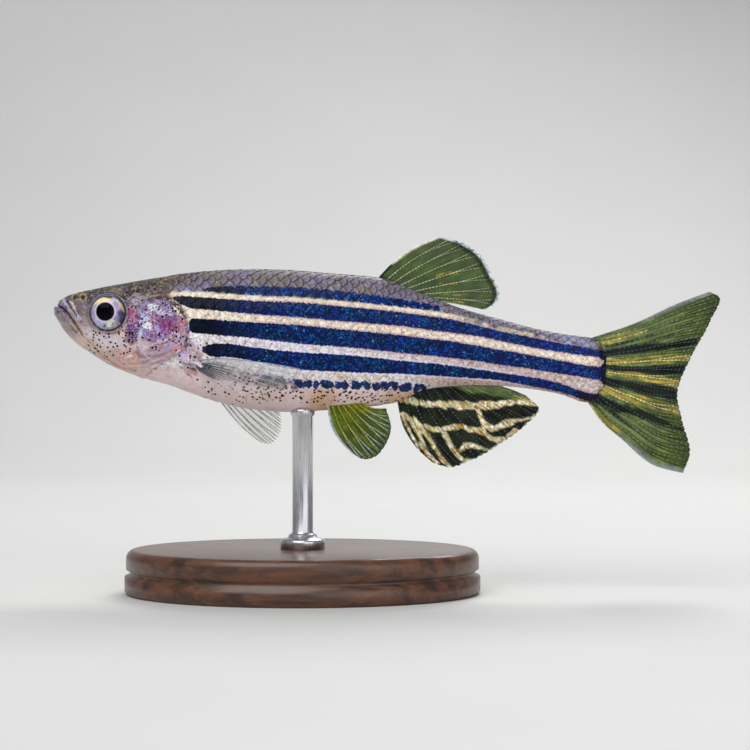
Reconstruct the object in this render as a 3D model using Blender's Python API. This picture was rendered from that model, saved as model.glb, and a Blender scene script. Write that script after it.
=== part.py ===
"""Zebra danio, life size and still, held on a display stand by one rod.

Sizes are in millimetres until MM turns them into metres. A place along the fish is its distance back from
the tip of the lower lip, and a height is above the floor that the stand rests on. The fish faces -X, with
its left side to -Y, and swims with its head a little up.
"""

import math

import bmesh
import bpy
from mathutils import Vector

MM = 0.001
TOTAL_LENGTH = 45.0
GAP = 0.3  # clearance between pieces that meet

# Cross-sections of the body: distance back and height of the top edge, the same of the lower edge, and half
# the width. The first is the tip of the lower lip and the last the root of the tail fin.
SECTIONS = (
    ("lower lip", 0.00, 19.12, 0.00, 19.12, 0.00),
    ("mouth", 0.14, 19.47, 0.07, 18.71, 0.45),
    ("upper lip", 0.44, 19.76, 0.34, 18.21, 0.80),
    ("snout", 0.88, 20.08, 0.74, 17.60, 1.14),
    ("nostril", 1.55, 20.29, 1.55, 16.79, 1.50),
    ("front of eye", 2.37, 20.47, 2.37, 16.25, 1.80),
    ("eye", 3.58, 20.72, 3.58, 15.47, 2.10),
    ("cheek", 5.07, 20.99, 5.07, 14.84, 2.36),
    ("gill cover", 6.42, 21.22, 6.42, 14.42, 2.50),
    ("nape", 7.77, 21.42, 7.77, 14.05, 2.56),
    ("shoulder", 9.13, 21.59, 9.13, 13.54, 2.60),
    ("pectoral fin", 10.82, 21.74, 10.82, 12.98, 2.64),
    ("back's highest", 12.84, 21.82, 12.84, 12.51, 2.64),
    ("deepest belly", 15.55, 21.79, 15.55, 12.26, 2.55),
    ("pelvic fin", 18.25, 21.59, 18.25, 12.37, 2.36),
    ("dorsal fin", 21.77, 21.28, 21.77, 12.68, 2.00),
    ("vent", 23.32, 20.78, 23.32, 13.00, 1.80),
    ("anal fin", 25.01, 20.13, 25.01, 13.76, 1.62),
    ("end of dorsal fin", 27.38, 19.22, 27.38, 14.03, 1.40),
    ("end of anal fin", 29.74, 18.56, 29.74, 14.03, 1.20),
    ("tail stem", 32.11, 17.92, 32.11, 13.81, 1.02),
    ("thinnest", 34.14, 17.50, 34.14, 13.44, 0.86),
    ("widening", 35.63, 17.31, 35.63, 12.93, 0.70),
    ("tail root", 36.64, 17.09, 36.30, 13.07, 0.52),
    ("tail root's end", 36.98, 16.28, 36.84, 13.85, 0.36),
)
SIDES = 32
RING_STEP = 0.9  # spacing of the rings along the body, which closes up in the head
HEAD_RING_STEP = 0.45
FINE_AHEAD_OF = 10.0
WIDEST_AT = 0.56  # share of the height, from the belly, at which the body is widest
BACK_FULLNESS = 2.15  # 2 is an ellipse, and more is boxier
BELLY_FULLNESS = 1.9

# Side-view lines along which the body is parted.
GILL_LINE = (
    (6.9, 22.5), (7.2, 20.9), (7.5, 19.95), (8.2, 19.3), (8.75, 18.65), (9.1, 17.75),
    (9.0, 16.95), (8.5, 16.3), (7.6, 15.7), (6.75, 15.2), (6.1, 14.6), (5.6, 13.2),
)
TAIL_LINE = ((30.6, 20.5), (30.9, 16.0), (30.6, 12.5))
MOUTH_LINE = ((-0.6, 19.62), (0.2, 19.4), (0.62, 19.2), (1.0, 18.75), (1.42, 18.1), (1.9, 17.4))
JAW_LINE = MOUTH_LINE + ((2.45, 16.8), (2.9, 16.3), (3.4, 14.8))
CUT_STEPS = 26
OUTLINE_STEPS = 30

# Eye, nostril and gill cover.
EYE_AT = (3.83, 18.86)
EYE_RADIUS = 1.28
EYE_DEPTH = 0.95  # half of the eyeball's thickness across the head
EYE_BULGE = 0.3  # how far it stands out of the head
NOSTRIL_AT = (1.45, 19.93)
NOSTRIL_RADIUS = 0.24
LIP_RADIUS = 0.22
UPPER_LIP = ((0.5, 19.62), (0.62, 19.54), (0.85, 19.36), (1.12, 19.0), (1.5, 18.45))
LOWER_LIP = ((0.22, 19.12), (0.3, 19.0), (0.48, 18.8), (0.78, 18.42), (1.12, 17.9))
COVER_THICKNESS = 0.6
COVER_OUTLINE = (
    (6.3, 20.1), (5.95, 19.4), (5.8, 18.5), (5.8, 17.5), (6.0, 16.75), (6.6, 16.3), (10.0, 16.3), (10.0, 20.1),
)
COVER_INNER_REACH = 0.9

# Fins: half thickness at the root and the tip, and how far rays stand out of the membrane.
FIN_ROOT_HALF = 0.32
FIN_HALF = 0.25
FIN_TIP_HALF = 0.17
RAY_RIDGE = 0.12
RAY_SHARE = 0.26  # of the spacing between rays, the half width of one ray's ridge
NOTCH = 0.02  # how far the membrane falls short of the tips of the rays

# Stand.
STAND_AT = 16.75  # distance back from the lip, under the balance point
BASE_LENGTH = 24.0
BASE_WIDTH = 19.0
BASE_HEIGHT = 3.0
BASE_EDGE = 0.5
ROD_RADIUS = 0.7
COLLAR_RADIUS = 1.5
COLLAR_HEIGHT = 0.9


# Colour, roughness and metallic value of each piece.
SKIN = (0.16, 0.17, 0.30), 0.35, 0.0
COVER = (0.42, 0.24, 0.36), 0.3, 0.3
EYE = (0.62, 0.62, 0.68), 0.15, 0.2
CLEAR_FIN = (0.42, 0.45, 0.36), 0.4, 0.0
BANDED_FIN = (0.32, 0.33, 0.20), 0.4, 0.0
LOOKS = {
    "head": ((0.33, 0.31, 0.36), 0.35, 0.0),
    "lower_jaw": ((0.55, 0.47, 0.47), 0.35, 0.0),
    "gill_cover_left": COVER,
    "gill_cover_right": COVER,
    "trunk": SKIN,
    "tail_stem": SKIN,
    "eye_left": EYE,
    "eye_right": EYE,
    "dorsal_fin": CLEAR_FIN,
    "anal_fin": BANDED_FIN,
    "tail_fin": BANDED_FIN,
    "pectoral_fin_left": CLEAR_FIN,
    "pectoral_fin_right": CLEAR_FIN,
    "pelvic_fin_left": CLEAR_FIN,
    "pelvic_fin_right": CLEAR_FIN,
    "stand_base": ((0.12, 0.06, 0.03), 0.45, 0.0),
    "stand_rod": ((0.7, 0.7, 0.72), 0.25, 1.0),
}


def material(name, colour, roughness, metallic):
    made = bpy.data.materials.new(name)
    made.use_nodes = True
    shader = made.node_tree.nodes["Principled BSDF"]
    shader.inputs["Base Color"].default_value = (*colour, 1.0)
    shader.inputs["Roughness"].default_value = roughness
    shader.inputs["Metallic"].default_value = metallic
    return made


def smooth(knots, values):
    """A function that passes through the values at the knots and turns evenly between them."""
    steps = [b - a for a, b in zip(knots, knots[1:])]
    rises = [(b - a) / step for a, b, step in zip(values, values[1:], steps)]
    slopes = [rises[0]]
    for i in range(1, len(rises)):
        before, after = steps[i - 1], steps[i]
        slopes.append((rises[i - 1] * after + rises[i] * before) / (before + after))
    slopes.append(rises[-1])

    def value(at):
        i = 0
        while i < len(steps) - 1 and at > knots[i + 1]:
            i += 1
        u = min(max((at - knots[i]) / steps[i], 0.0), 1.0)
        rest = 1 - u
        ends = values[i] * (1 + 2 * u) * rest * rest + values[i + 1] * u * u * (3 - 2 * u)
        return ends + steps[i] * u * rest * (slopes[i] * rest - slopes[i + 1] * u)

    return value


def through(points):
    """A curve from 0 to 1 through the points, by distance along them."""
    along = [0.0]
    for a, b in zip(points, points[1:]):
        along.append(along[-1] + math.dist(a, b))
    knots = [d / along[-1] for d in along]
    axes = [smooth(knots, [p[k] for p in points]) for k in range(len(points[0]))]
    return lambda t: Vector([axis(t) for axis in axes])


NUMBERS = list(range(len(SECTIONS)))
TOP_BACK, TOP_HEIGHT, LOW_BACK, LOW_HEIGHT, HALF_WIDTH = (
    smooth(NUMBERS, [row[k] for row in SECTIONS]) for k in range(1, 6)
)


def signed_power(value, power):
    return math.copysign(abs(value) ** power, value)


def section_number(back):
    """The place in SECTIONS, as a number with a fraction, of the section this far back."""
    low, high = 0.0, float(NUMBERS[-1])
    for _ in range(40):
        middle = (low + high) / 2
        if (TOP_BACK(middle) + LOW_BACK(middle)) / 2 < back:
            low = middle
        else:
            high = middle
    return low


def ring(number, inset=0.0):
    """Points round the body at one section, from the right side over the back, the left and the belly."""
    top = Vector((TOP_BACK(number), 0, TOP_HEIGHT(number)))
    low = Vector((LOW_BACK(number), 0, LOW_HEIGHT(number)))
    up = (top - low).normalized() * inset
    top, low = top - up, low + up
    centre = low.lerp(top, WIDEST_AT)
    half = HALF_WIDTH(number) - inset
    points = []
    for k in range(SIDES):
        angle = 2 * math.pi * k / SIDES
        rise = math.sin(angle)
        power = 2 / (BACK_FULLNESS if rise >= 0 else BELLY_FULLNESS)
        height = signed_power(rise, power)
        edge = centre.lerp(top if height >= 0 else low, abs(height))
        points.append(edge + Vector((0, half * signed_power(math.cos(angle), power), 0)))
    return points


def side(back, height):
    """Half the body's width at this place and height, or 0 outside the body."""
    number = section_number(back)
    top, low = TOP_HEIGHT(number), LOW_HEIGHT(number)
    centre = low + (top - low) * WIDEST_AT
    above = height >= centre
    share = abs(height - centre) / ((top if above else low) - centre) * (1 if above else -1)
    if share >= 1:
        return 0.0
    fullness = BACK_FULLNESS if above else BELLY_FULLNESS
    return HALF_WIDTH(number) * (1 - share**fullness) ** (1 / fullness)


def underside(back, across):
    """The height of the belly at this place and this far from the middle."""
    number = section_number(back)
    top, low = TOP_HEIGHT(number), LOW_HEIGHT(number)
    centre = low + (top - low) * WIDEST_AT
    share = min(abs(across) / HALF_WIDTH(number), 1.0)
    return centre - (centre - low) * (1 - share**BELLY_FULLNESS) ** (1 / BELLY_FULLNESS)


def ridge_height(back):
    """The height of the line of the back."""
    return TOP_HEIGHT(section_number(back))


def add_object(name, mesh):
    made = bpy.data.objects.new(name, mesh)
    bpy.context.scene.collection.objects.link(made)
    if name in LOOKS:
        mesh.materials.clear()
        mesh.materials.append(material(name, *LOOKS[name]))
        mesh.shade_smooth()
        mesh.set_sharp_from_angle(angle=math.radians(50))
    return made


def mesh_of(name, points, faces):
    """A closed mesh from points in millimetres, placed in metres, with its faces turned outwards."""
    shape = bmesh.new()
    corners = [
        shape.verts.new(((p[0] - TOTAL_LENGTH / 2) * MM, p[1] * MM, p[2] * MM)) for p in points
    ]
    for face in faces:
        shape.faces.new([corners[i] for i in face])
    bmesh.ops.recalc_face_normals(shape, faces=shape.faces)
    bmesh.ops.triangulate(shape, faces=shape.faces)
    mesh = bpy.data.meshes.new(name)
    shape.to_mesh(mesh)
    shape.free()
    return mesh


def loft(rings, first, last):
    """Points and faces of a skin over the rings, closed with a point at each end."""
    count = len(rings[0])
    points = [p for r in rings for p in r] + [first, last]
    faces = []
    for i in range(len(rings) - 1):
        for k in range(count):
            a, b = i * count + k, i * count + (k + 1) % count
            faces.append((a, b, b + count, a + count))
    end = (len(rings) - 1) * count
    for k in range(count):
        after = (k + 1) % count
        faces.append((k, after, len(points) - 2))
        faces.append((end + k, end + after, len(points) - 1))
    return points, faces


def body_mesh(name, inset=0.0, start=0.0, stop=None):
    """The body's skin, or one this far inside it, between two numbers of SECTIONS."""
    stop = NUMBERS[-1] if stop is None else stop
    rings, number = [], start
    if start == 0.0:
        first = Vector((0, 0, SECTIONS[0][2]))
        number = 0.45
    while number < stop:
        rings.append(ring(number, inset))
        back = TOP_BACK(number)
        step = HEAD_RING_STEP if back < FINE_AHEAD_OF else RING_STEP
        ahead = section_number((back + LOW_BACK(number)) / 2 + step)
        number = max(ahead, number + 0.12)
    rings.append(ring(stop, inset))
    middle = sum(rings[0], Vector()) / SIDES
    if start > 0.0:
        first = middle
    last = sum(rings[-1], Vector()) / SIDES + Vector((0.06, 0, 0))
    return mesh_of(name, *loft(rings, first, last))


def slab(name, line, half_gap):
    """A thin cutter that follows a side-view line right across the body."""
    reach = 8.0
    course = through(line)
    line = [course(i / CUT_STEPS) for i in range(CUT_STEPS + 1)]
    edges = []
    for i, (back, height) in enumerate(line):
        before = line[max(i - 1, 0)]
        after = line[min(i + 1, len(line) - 1)]
        along = Vector((after[0] - before[0], after[1] - before[1])).normalized()
        across = Vector((-along.y, along.x)) * half_gap
        edges.append(((back + across.x, height + across.y), (back - across.x, height - across.y)))
    points, faces = [], []
    for one, other in edges:
        for y in (-reach, reach):
            points += [(one[0], y, one[1]), (other[0], y, other[1])]
    for i in range(len(edges) - 1):
        a, b = 4 * i, 4 * i + 4
        faces += [(a, a + 1, b + 1, b), (a + 2, a + 3, b + 3, b + 2)]
        faces += [(a, a + 2, b + 2, b), (a + 1, a + 3, b + 3, b + 1)]
    end = 4 * (len(edges) - 1)
    faces += [(0, 1, 3, 2), (end, end + 1, end + 3, end + 2)]
    return mesh_of(name, points, faces)


def block(name, outline, grow, near, far):
    """A side-view outline, grown outwards, as a prism between two distances across."""
    course = through(outline + outline[:1])
    outline = [course(i / OUTLINE_STEPS) for i in range(OUTLINE_STEPS)]
    centre = Vector([sum(p[k] for p in outline) / len(outline) for k in (0, 1)])
    grown = []
    for p in outline:
        out = Vector(p) - centre
        grown.append(Vector(p) + out.normalized() * grow)
    count = len(grown)
    points = [(p.x, y, p.y) for y in (near, far) for p in grown]
    faces = [tuple(range(count)), tuple(range(count, 2 * count))]
    faces += [(k, (k + 1) % count, count + (k + 1) % count, count + k) for k in range(count)]
    return mesh_of(name, points, faces)


def ball(name, centre, radii, rows=14, columns=24):
    """An ellipsoid whose poles point across the body."""
    rings = []
    for i in range(1, rows):
        lean = math.pi * i / rows
        rings.append([
            Vector((
                centre[0] + radii[0] * math.sin(lean) * math.cos(2 * math.pi * k / columns),
                centre[1] - radii[1] * math.cos(lean),
                centre[2] + radii[2] * math.sin(lean) * math.sin(2 * math.pi * k / columns),
            ))
            for k in range(columns)
        ])
    first = Vector((centre[0], centre[1] - radii[1], centre[2]))
    last = Vector((centre[0], centre[1] + radii[1], centre[2]))
    return mesh_of(name, *loft(rings, first, last))


def combine(mesh, others, operation):
    """The mesh after one Boolean with the other meshes."""
    holder = add_object("holder", mesh)
    group = bpy.data.collections.new("others")
    bpy.context.scene.collection.children.link(group)
    for k, other in enumerate(others):
        group.objects.link(bpy.data.objects.new(f"other_{k}", other))
    step = holder.modifiers.new("step", "BOOLEAN")
    step.operation = operation
    step.operand_type = "COLLECTION"
    step.collection = group
    step.solver = "EXACT"
    bpy.context.view_layer.update()
    graph = bpy.context.evaluated_depsgraph_get()
    result = bpy.data.meshes.new_from_object(holder.evaluated_get(graph))
    for made in list(group.objects) + [holder]:
        bpy.data.objects.remove(made)
    bpy.data.collections.remove(group)
    return result


def bodies_of(mesh):
    """Each closed surface of the mesh as its own mesh, largest first."""
    whole = bmesh.new()
    whole.from_mesh(mesh)
    left, found = set(whole.faces), []
    while left:
        stack, group = [left.pop()], set()
        while stack:
            face = stack.pop()
            group.add(face)
            near = {f for edge in face.edges for f in edge.link_faces} & left
            left -= near
            stack += near
        found.append({f.index for f in group})
    whole.free()
    meshes = []
    for keep in found:
        part = bmesh.new()
        part.from_mesh(mesh)
        part.faces.ensure_lookup_table()
        drop = [f for f in part.faces if f.index not in keep]
        bmesh.ops.delete(part, geom=drop, context="FACES")
        size = abs(part.calc_volume())
        made = bpy.data.meshes.new("part")
        part.to_mesh(made)
        part.free()
        meshes.append((size, made))
    meshes.sort(key=lambda pair: -pair[0])
    return [made for _, made in meshes]


def largest(mesh):
    return bodies_of(mesh)[0]


def lip(name, line):
    """A tapered roll along one edge of the mouth, from the left corner round the front to the right."""
    right = [Vector((back, side(back, height), height)) for back, height in line[1:]]
    left = [Vector((p.x, -p.y, p.z)) for p in reversed(right)]
    front = Vector((line[0][0], 0, line[0][1]))
    course = through([tuple(p) for p in left + [front] + right])
    slope = Vector((line[-1][0] - line[0][0], 0, line[-1][1] - line[0][1])).normalized()
    up = Vector((-slope.z, 0, slope.x))
    around, steps, rings = 8, 14, []
    for i in range(steps + 1):
        at = course(i / steps)
        ahead = (course(min(i / steps + 0.02, 1)) - course(max(i / steps - 0.02, 0))).normalized()
        out = ahead.cross(up).normalized()
        radius = LIP_RADIUS * (1 - 0.6 * abs(2 * i / steps - 1) ** 3)
        turns = [2 * math.pi * k / around for k in range(around)]
        rings.append([at + (up * math.cos(a) + out * math.sin(a)) * radius for a in turns])
    return mesh_of(name, *loft(rings, course(0), course(1)))


def fin(name, base, margin, lead, trail, rays, rows, lay):
    """A fin with its rays raised in its surface.

    base and margin run along the root and the free edge from the first ray to the last. lead and trail run
    along the first and the last ray from root to tip. All are side-view points, and lay gives how far
    across the body a point lies.
    """
    root, edge, first, last = through(base), through(margin), through(lead), through(trail)
    corners = (Vector(base[0]), Vector(base[-1]), Vector(margin[0]), Vector(margin[-1]))

    def place(out, across):
        flat = root(across) * (1 - out) + edge(across) * out
        flat += first(out) * (1 - across) + last(out) * across
        flat -= (corners[0] * (1 - across) + corners[1] * across) * (1 - out)
        flat -= (corners[2] * (1 - across) + corners[3] * across) * out
        return Vector((flat.x, lay(flat.x, flat.y), flat.y))

    columns = []
    spacing = 1 / (rays - 1)
    for r in range(rays):
        middle = r * spacing
        for shift in (-RAY_SHARE, 0.0, RAY_SHARE):
            across = middle + shift * spacing
            if 0 <= across <= 1:
                columns.append((across, shift == 0.0))
    near, far = [], []
    for i in range(rows + 1):
        out = i / rows
        if out < 0.5:
            half = FIN_ROOT_HALF + (FIN_HALF - FIN_ROOT_HALF) * out / 0.5
        else:
            half = FIN_HALF + (FIN_TIP_HALF - FIN_HALF) * ((out - 0.5) / 0.5) ** 2
        for across, is_ray in columns:
            reach = out if is_ray else out * (1 - NOTCH)
            at = place(reach, across)
            step = 0.01
            over = place(reach, min(across + step, 1)) - place(reach, max(across - step, 0))
            along = place(min(reach + step, 1), across) - place(max(reach - step, 0), across)
            normal = along.cross(over).normalized()
            thick = half + (RAY_RIDGE * (1 - 0.4 * out) if is_ray else 0.0)
            near.append(at + normal * thick)
            far.append(at - normal * thick)
    count = len(columns)
    total = len(near)
    faces = []
    for i in range(rows):
        for k in range(count - 1):
            a = i * count + k
            b, c, d = a + 1, a + count + 1, a + count
            faces += [(a, b, c), (a, c, d), (total + a, total + c, total + b), (total + a, total + d, total + c)]
    rim = [k for k in range(count)]
    rim += [i * count + count - 1 for i in range(1, rows + 1)]
    rim += [rows * count + k for k in range(count - 2, -1, -1)]
    rim += [i * count for i in range(rows - 1, 0, -1)]
    for i, a in enumerate(rim):
        b = rim[(i + 1) % len(rim)]
        faces.append((a, b, total + b, total + a))
    return add_object(name, mesh_of(name, near + far, faces))


def upright(across=0.0):
    """How a fin in the middle of the body lies: flat, with one slow wave."""
    def lay(back, height):
        return across + 0.12 * math.sin(back * 0.9) * math.sin(height * 0.7)
    return lay


def make_body():
    """The head, jaw, trunk and tail stem, parted by thin cuts, with the sockets, covers and lips."""
    cuts = [
        slab("gill_cut", GILL_LINE, GAP / 2),
        slab("tail_cut", TAIL_LINE, GAP / 2),
        slab("jaw_cut", JAW_LINE, GAP / 2),
    ]
    parts = bodies_of(combine(body_mesh("body"), cuts, "DIFFERENCE"))[:4]
    parts.sort(key=lambda mesh: sum(v.co.x for v in mesh.vertices) / len(mesh.vertices))
    jaw, head, trunk, tail = parts

    eye_across = side(*EYE_AT) + EYE_BULGE - EYE_DEPTH
    start, stop = section_number(3.0), section_number(11.5)
    for name, turn in (("left", -1), ("right", 1)):
        centre = (EYE_AT[0], turn * eye_across, EYE_AT[1])
        radii = (EYE_RADIUS, EYE_DEPTH, EYE_RADIUS)
        wide = tuple(r + GAP for r in radii)
        add_object(f"eye_{name}", ball("eye", centre, radii, 12, 20))
        nose = (NOSTRIL_AT[0], turn * side(*NOSTRIL_AT), NOSTRIL_AT[1])
        pit = ball("pit", nose, (NOSTRIL_RADIUS,) * 3, 6, 10)
        socket = ball("socket", centre, wide, 14, 24)
        far = turn * 8.0
        inner = turn * COVER_INNER_REACH
        cover = combine(head, [block("cover", COVER_OUTLINE, 0.0, inner, far)], "INTERSECT")
        core = body_mesh("core", COVER_THICKNESS, start, stop)
        cover = largest(combine(cover, [core], "DIFFERENCE"))
        pocket = block("pocket", COVER_OUTLINE, GAP, inner, far)
        deep = body_mesh("deep", COVER_THICKNESS + GAP, start, stop)
        pocket = combine(pocket, [deep], "DIFFERENCE")
        head = largest(combine(head, [pocket, socket, pit], "DIFFERENCE"))
        add_object(f"gill_cover_{name}", cover)

    head = largest(combine(head, [lip("upper_lip", UPPER_LIP)], "UNION"))
    jaw = largest(combine(jaw, [lip("lower_lip", LOWER_LIP)], "UNION"))
    add_object("head", head)
    add_object("lower_jaw", jaw)
    add_object("trunk", largest(trunk))
    add_object("tail_stem", largest(tail))


def make_dorsal_fin():
    lift = GAP + 0.05
    base = [(back, ridge_height(back) + lift) for back in (21.9, 23.1, 24.3, 25.6)]
    lead = (base[0], (22.85, 22.3), (24.0, 23.18), (26.0, 24.12))
    margin = (lead[-1], (27.7, 23.6), (28.8, 22.8), (29.6, 21.4), (30.05, 20.1), (29.75, 19.5), (29.05, 19.15))
    trail = (base[-1], (27.4, 19.62), margin[-1])
    fin("dorsal_fin", base, margin, lead, trail, 9, 8, upright())


def make_anal_fin():
    drop = GAP + 0.05
    base = [(back, underside(back, 0) - drop) for back in (23.3, 24.4, 25.6, 27.0, 29.0)]
    lead = (base[0], (23.6, 11.2), (24.4, 9.9), (25.6, 8.75))
    margin = (lead[-1], (26.7, 8.47), (28.1, 8.9), (30.2, 10.1), (31.9, 11.4), (32.74, 12.4), (31.9, 13.3))
    trail = (base[-1], (30.8, 13.62), margin[-1])
    fin("anal_fin", base, margin, lead, trail, 13, 8, upright())


def make_tail_fin():
    base = ((36.85, 17.5), (37.42, 16.3), (37.45, 15.1), (37.28, 13.8), (36.6, 12.72))
    lead = (base[0], (39.1, 18.15), (42.0, 19.5), (44.28, 20.36))
    margin = (
        lead[-1], (45.0, 20.05), (44.35, 18.4), (43.0, 15.9), (42.1, 13.4), (42.45, 11.6), (42.95, 9.4), (42.45, 8.1),
    )
    trail = (base[-1], (37.2, 11.6), (38.3, 10.45), (40.4, 8.7), margin[-1])
    fin("tail_fin", base, margin, lead, trail, 19, 8, upright())


def make_pectoral_fins():
    root_back, root_height = 9.9, 15.4
    outer = side(root_back, root_height) + GAP + FIN_ROOT_HALF

    def folded(back, height):
        """The left one lies back along the flank."""
        away = math.hypot(back - root_back, height - root_height)
        return -(outer + 0.17 * away - 0.006 * away * away)

    def lowered(back, height):
        """The right one is spread downwards, clear of the belly."""
        away = math.hypot(back - root_back, height - root_height)
        return outer + 0.3 * away

    base = ((9.65, 15.75), (9.8, 15.4), (10.0, 15.05))
    lead = (base[0], (11.6, 15.8), (13.4, 15.65), (15.6, 15.35), (16.85, 15.1))
    margin = (lead[-1], (16.6, 14.5), (15.9, 13.85), (14.8, 13.45), (13.4, 13.3), (12.2, 13.65))
    trail = (base[-1], (11.0, 14.4), margin[-1])
    fin("pectoral_fin_left", base, margin, lead, trail, 11, 7, folded)

    base = ((9.75, 14.95), (9.95, 15.2), (10.15, 15.45))
    lead = (base[0], (10.95, 12.9), (12.5, 11.0), (13.75, 9.95))
    margin = (lead[-1], (14.4, 9.85), (15.05, 10.6), (15.15, 11.7), (14.9, 12.7))
    trail = (base[-1], (12.6, 14.1), margin[-1])
    fin("pectoral_fin_right", base, margin, lead, trail, 11, 7, lowered)


def make_pelvic_fins():
    across = 0.75
    for name, turn in (("left", -1), ("right", 1)):
        def lay(back, height, turn=turn):
            return turn * (across + 0.16 * (12.4 - height))

        base = [(back, underside(back, across) - GAP - 0.12) for back in (18.4, 19.4, 20.5)]
        lead = (base[0], (18.8, 11.1), (19.3, 10.3), (20.2, 9.4))
        margin = (lead[-1], (20.85, 9.08), (21.6, 9.2), (22.3, 9.95), (22.72, 11.1), (22.3, 12.2))
        trail = (base[-1], (21.4, 12.02), margin[-1])
        fin(f"pelvic_fin_{name}", base, margin, lead, trail, 8, 6, lay)


def make_stand():
    count = 48
    profile = (
        (0.0, 1.0), (BASE_HEIGHT - BASE_EDGE, 1.0), (BASE_HEIGHT - BASE_EDGE * 0.3, 0.3), (BASE_HEIGHT, 0.0),
    )
    rings = []
    for height, share in profile:
        shrink = BASE_EDGE * (1 - share)
        rings.append([
            Vector((
                STAND_AT + (BASE_LENGTH / 2 - shrink) * math.cos(2 * math.pi * k / count),
                (BASE_WIDTH / 2 - shrink) * math.sin(2 * math.pi * k / count),
                height,
            ))
            for k in range(count)
        ])
    ends = Vector((STAND_AT, 0, 0)), Vector((STAND_AT, 0, BASE_HEIGHT))
    add_object("stand_base", mesh_of("base", *loft(rings, *ends)))

    foot = BASE_HEIGHT + GAP
    count = 20
    profile = (
        (foot, COLLAR_RADIUS), (foot + COLLAR_HEIGHT * 0.6, COLLAR_RADIUS),
        (foot + COLLAR_HEIGHT, COLLAR_RADIUS * 0.7), (foot + COLLAR_HEIGHT, ROD_RADIUS),
    )
    rings = [
        [
            Vector((
                STAND_AT + radius * math.cos(2 * math.pi * k / count),
                radius * math.sin(2 * math.pi * k / count),
                height,
            ))
            for k in range(count)
        ]
        for height, radius in profile
    ]
    rings.append([
        Vector((p.x, p.y, underside(p.x, p.y) - GAP)) for p in rings[-1]
    ])
    ends = Vector((STAND_AT, 0, foot)), Vector((STAND_AT, 0, underside(STAND_AT, 0) - GAP))
    add_object("stand_rod", mesh_of("rod", *loft(rings, *ends)))


for old in list(bpy.data.objects):
    bpy.data.objects.remove(old)

make_body()
make_dorsal_fin()
make_anal_fin()
make_tail_fin()
make_pectoral_fins()
make_pelvic_fins()
make_stand()
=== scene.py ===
"""Looks of a life-size zebra danio on a display stand.

Sizes are in millimetres until MM turns them into metres. A place is given as the distance back from the tip
of the lower lip and the height above the floor. The fish faces -X, with its left side to -Y.
"""

import math

import bpy
import numpy as np
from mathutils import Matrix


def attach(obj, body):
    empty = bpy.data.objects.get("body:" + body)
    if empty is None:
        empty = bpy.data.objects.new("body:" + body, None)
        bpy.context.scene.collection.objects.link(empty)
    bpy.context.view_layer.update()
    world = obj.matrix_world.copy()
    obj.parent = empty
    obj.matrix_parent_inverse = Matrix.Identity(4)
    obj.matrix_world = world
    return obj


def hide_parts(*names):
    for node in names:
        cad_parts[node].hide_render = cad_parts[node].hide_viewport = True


MM = 0.001
TOTAL_LENGTH = 45.0

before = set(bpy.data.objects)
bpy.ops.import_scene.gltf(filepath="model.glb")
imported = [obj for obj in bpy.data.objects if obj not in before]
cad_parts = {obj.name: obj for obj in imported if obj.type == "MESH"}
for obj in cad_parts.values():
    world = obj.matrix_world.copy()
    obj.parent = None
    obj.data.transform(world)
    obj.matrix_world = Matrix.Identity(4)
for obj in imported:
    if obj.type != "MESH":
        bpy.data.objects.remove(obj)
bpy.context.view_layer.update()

# Cross-sections of the body: distance back and height of the top edge, the same of the lower edge, and half
# the width, from the tip of the lower lip to the root of the tail fin.
SECTIONS = np.array((
    (0.0, 19.12, 0.0, 19.12, 0.0), (0.14, 19.47, 0.07, 18.71, 0.45), (0.44, 19.76, 0.34, 18.21, 0.8),
    (0.88, 20.08, 0.74, 17.6, 1.14), (1.55, 20.29, 1.55, 16.79, 1.5), (2.37, 20.47, 2.37, 16.25, 1.8),
    (3.58, 20.72, 3.58, 15.47, 2.1), (5.07, 20.99, 5.07, 14.84, 2.36), (6.42, 21.22, 6.42, 14.42, 2.5),
    (7.77, 21.42, 7.77, 14.05, 2.56), (9.13, 21.59, 9.13, 13.54, 2.6), (10.82, 21.74, 10.82, 12.98, 2.64),
    (12.84, 21.82, 12.84, 12.51, 2.64), (15.55, 21.79, 15.55, 12.26, 2.55),
    (18.25, 21.59, 18.25, 12.37, 2.36), (21.77, 21.28, 21.77, 12.68, 2.0), (23.32, 20.78, 23.32, 13.0, 1.8),
    (25.01, 20.13, 25.01, 13.76, 1.62), (27.38, 19.22, 27.38, 14.03, 1.4),
    (29.74, 18.56, 29.74, 14.03, 1.2), (32.11, 17.92, 32.11, 13.81, 1.02),
    (34.14, 17.5, 34.14, 13.44, 0.86), (35.63, 17.31, 35.63, 12.93, 0.7), (36.64, 17.09, 36.3, 13.07, 0.52),
    (36.98, 16.28, 36.84, 13.85, 0.36),
))
# Where a section is widest, as a share of its height, and how full it is above and below that.
WIDEST_AT = 0.56
BACK_FULLNESS = 2.15
BELLY_FULLNESS = 1.9
# Distance back over which the skin's fine grid of the head passes into that of the trunk.
HEAD_ENDS = (9.3, 10.6)

# The camera, and how a place in millimetres shows in its 750 pixel frame.
VIEW_AWAY = 140.8
VIEW_CENTRE = (-0.868, 14.73)
FRAME = 750
PIXELS_PER_MM = FRAME / 50.7

# The eye: place, half sizes, how far it stands out of the body, and where it and its pupil show in the frame.
EYE_AT = (3.83, 18.86)
EYE_RADIUS = 1.28
EYE_DEPTH = 0.95
EYE_BULGE = 0.3
EYE_SEEN = (107.6, 313.0)
PUPIL_SEEN = (105.5, 311.7)
PUPIL_RADIUS = 0.62

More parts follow.
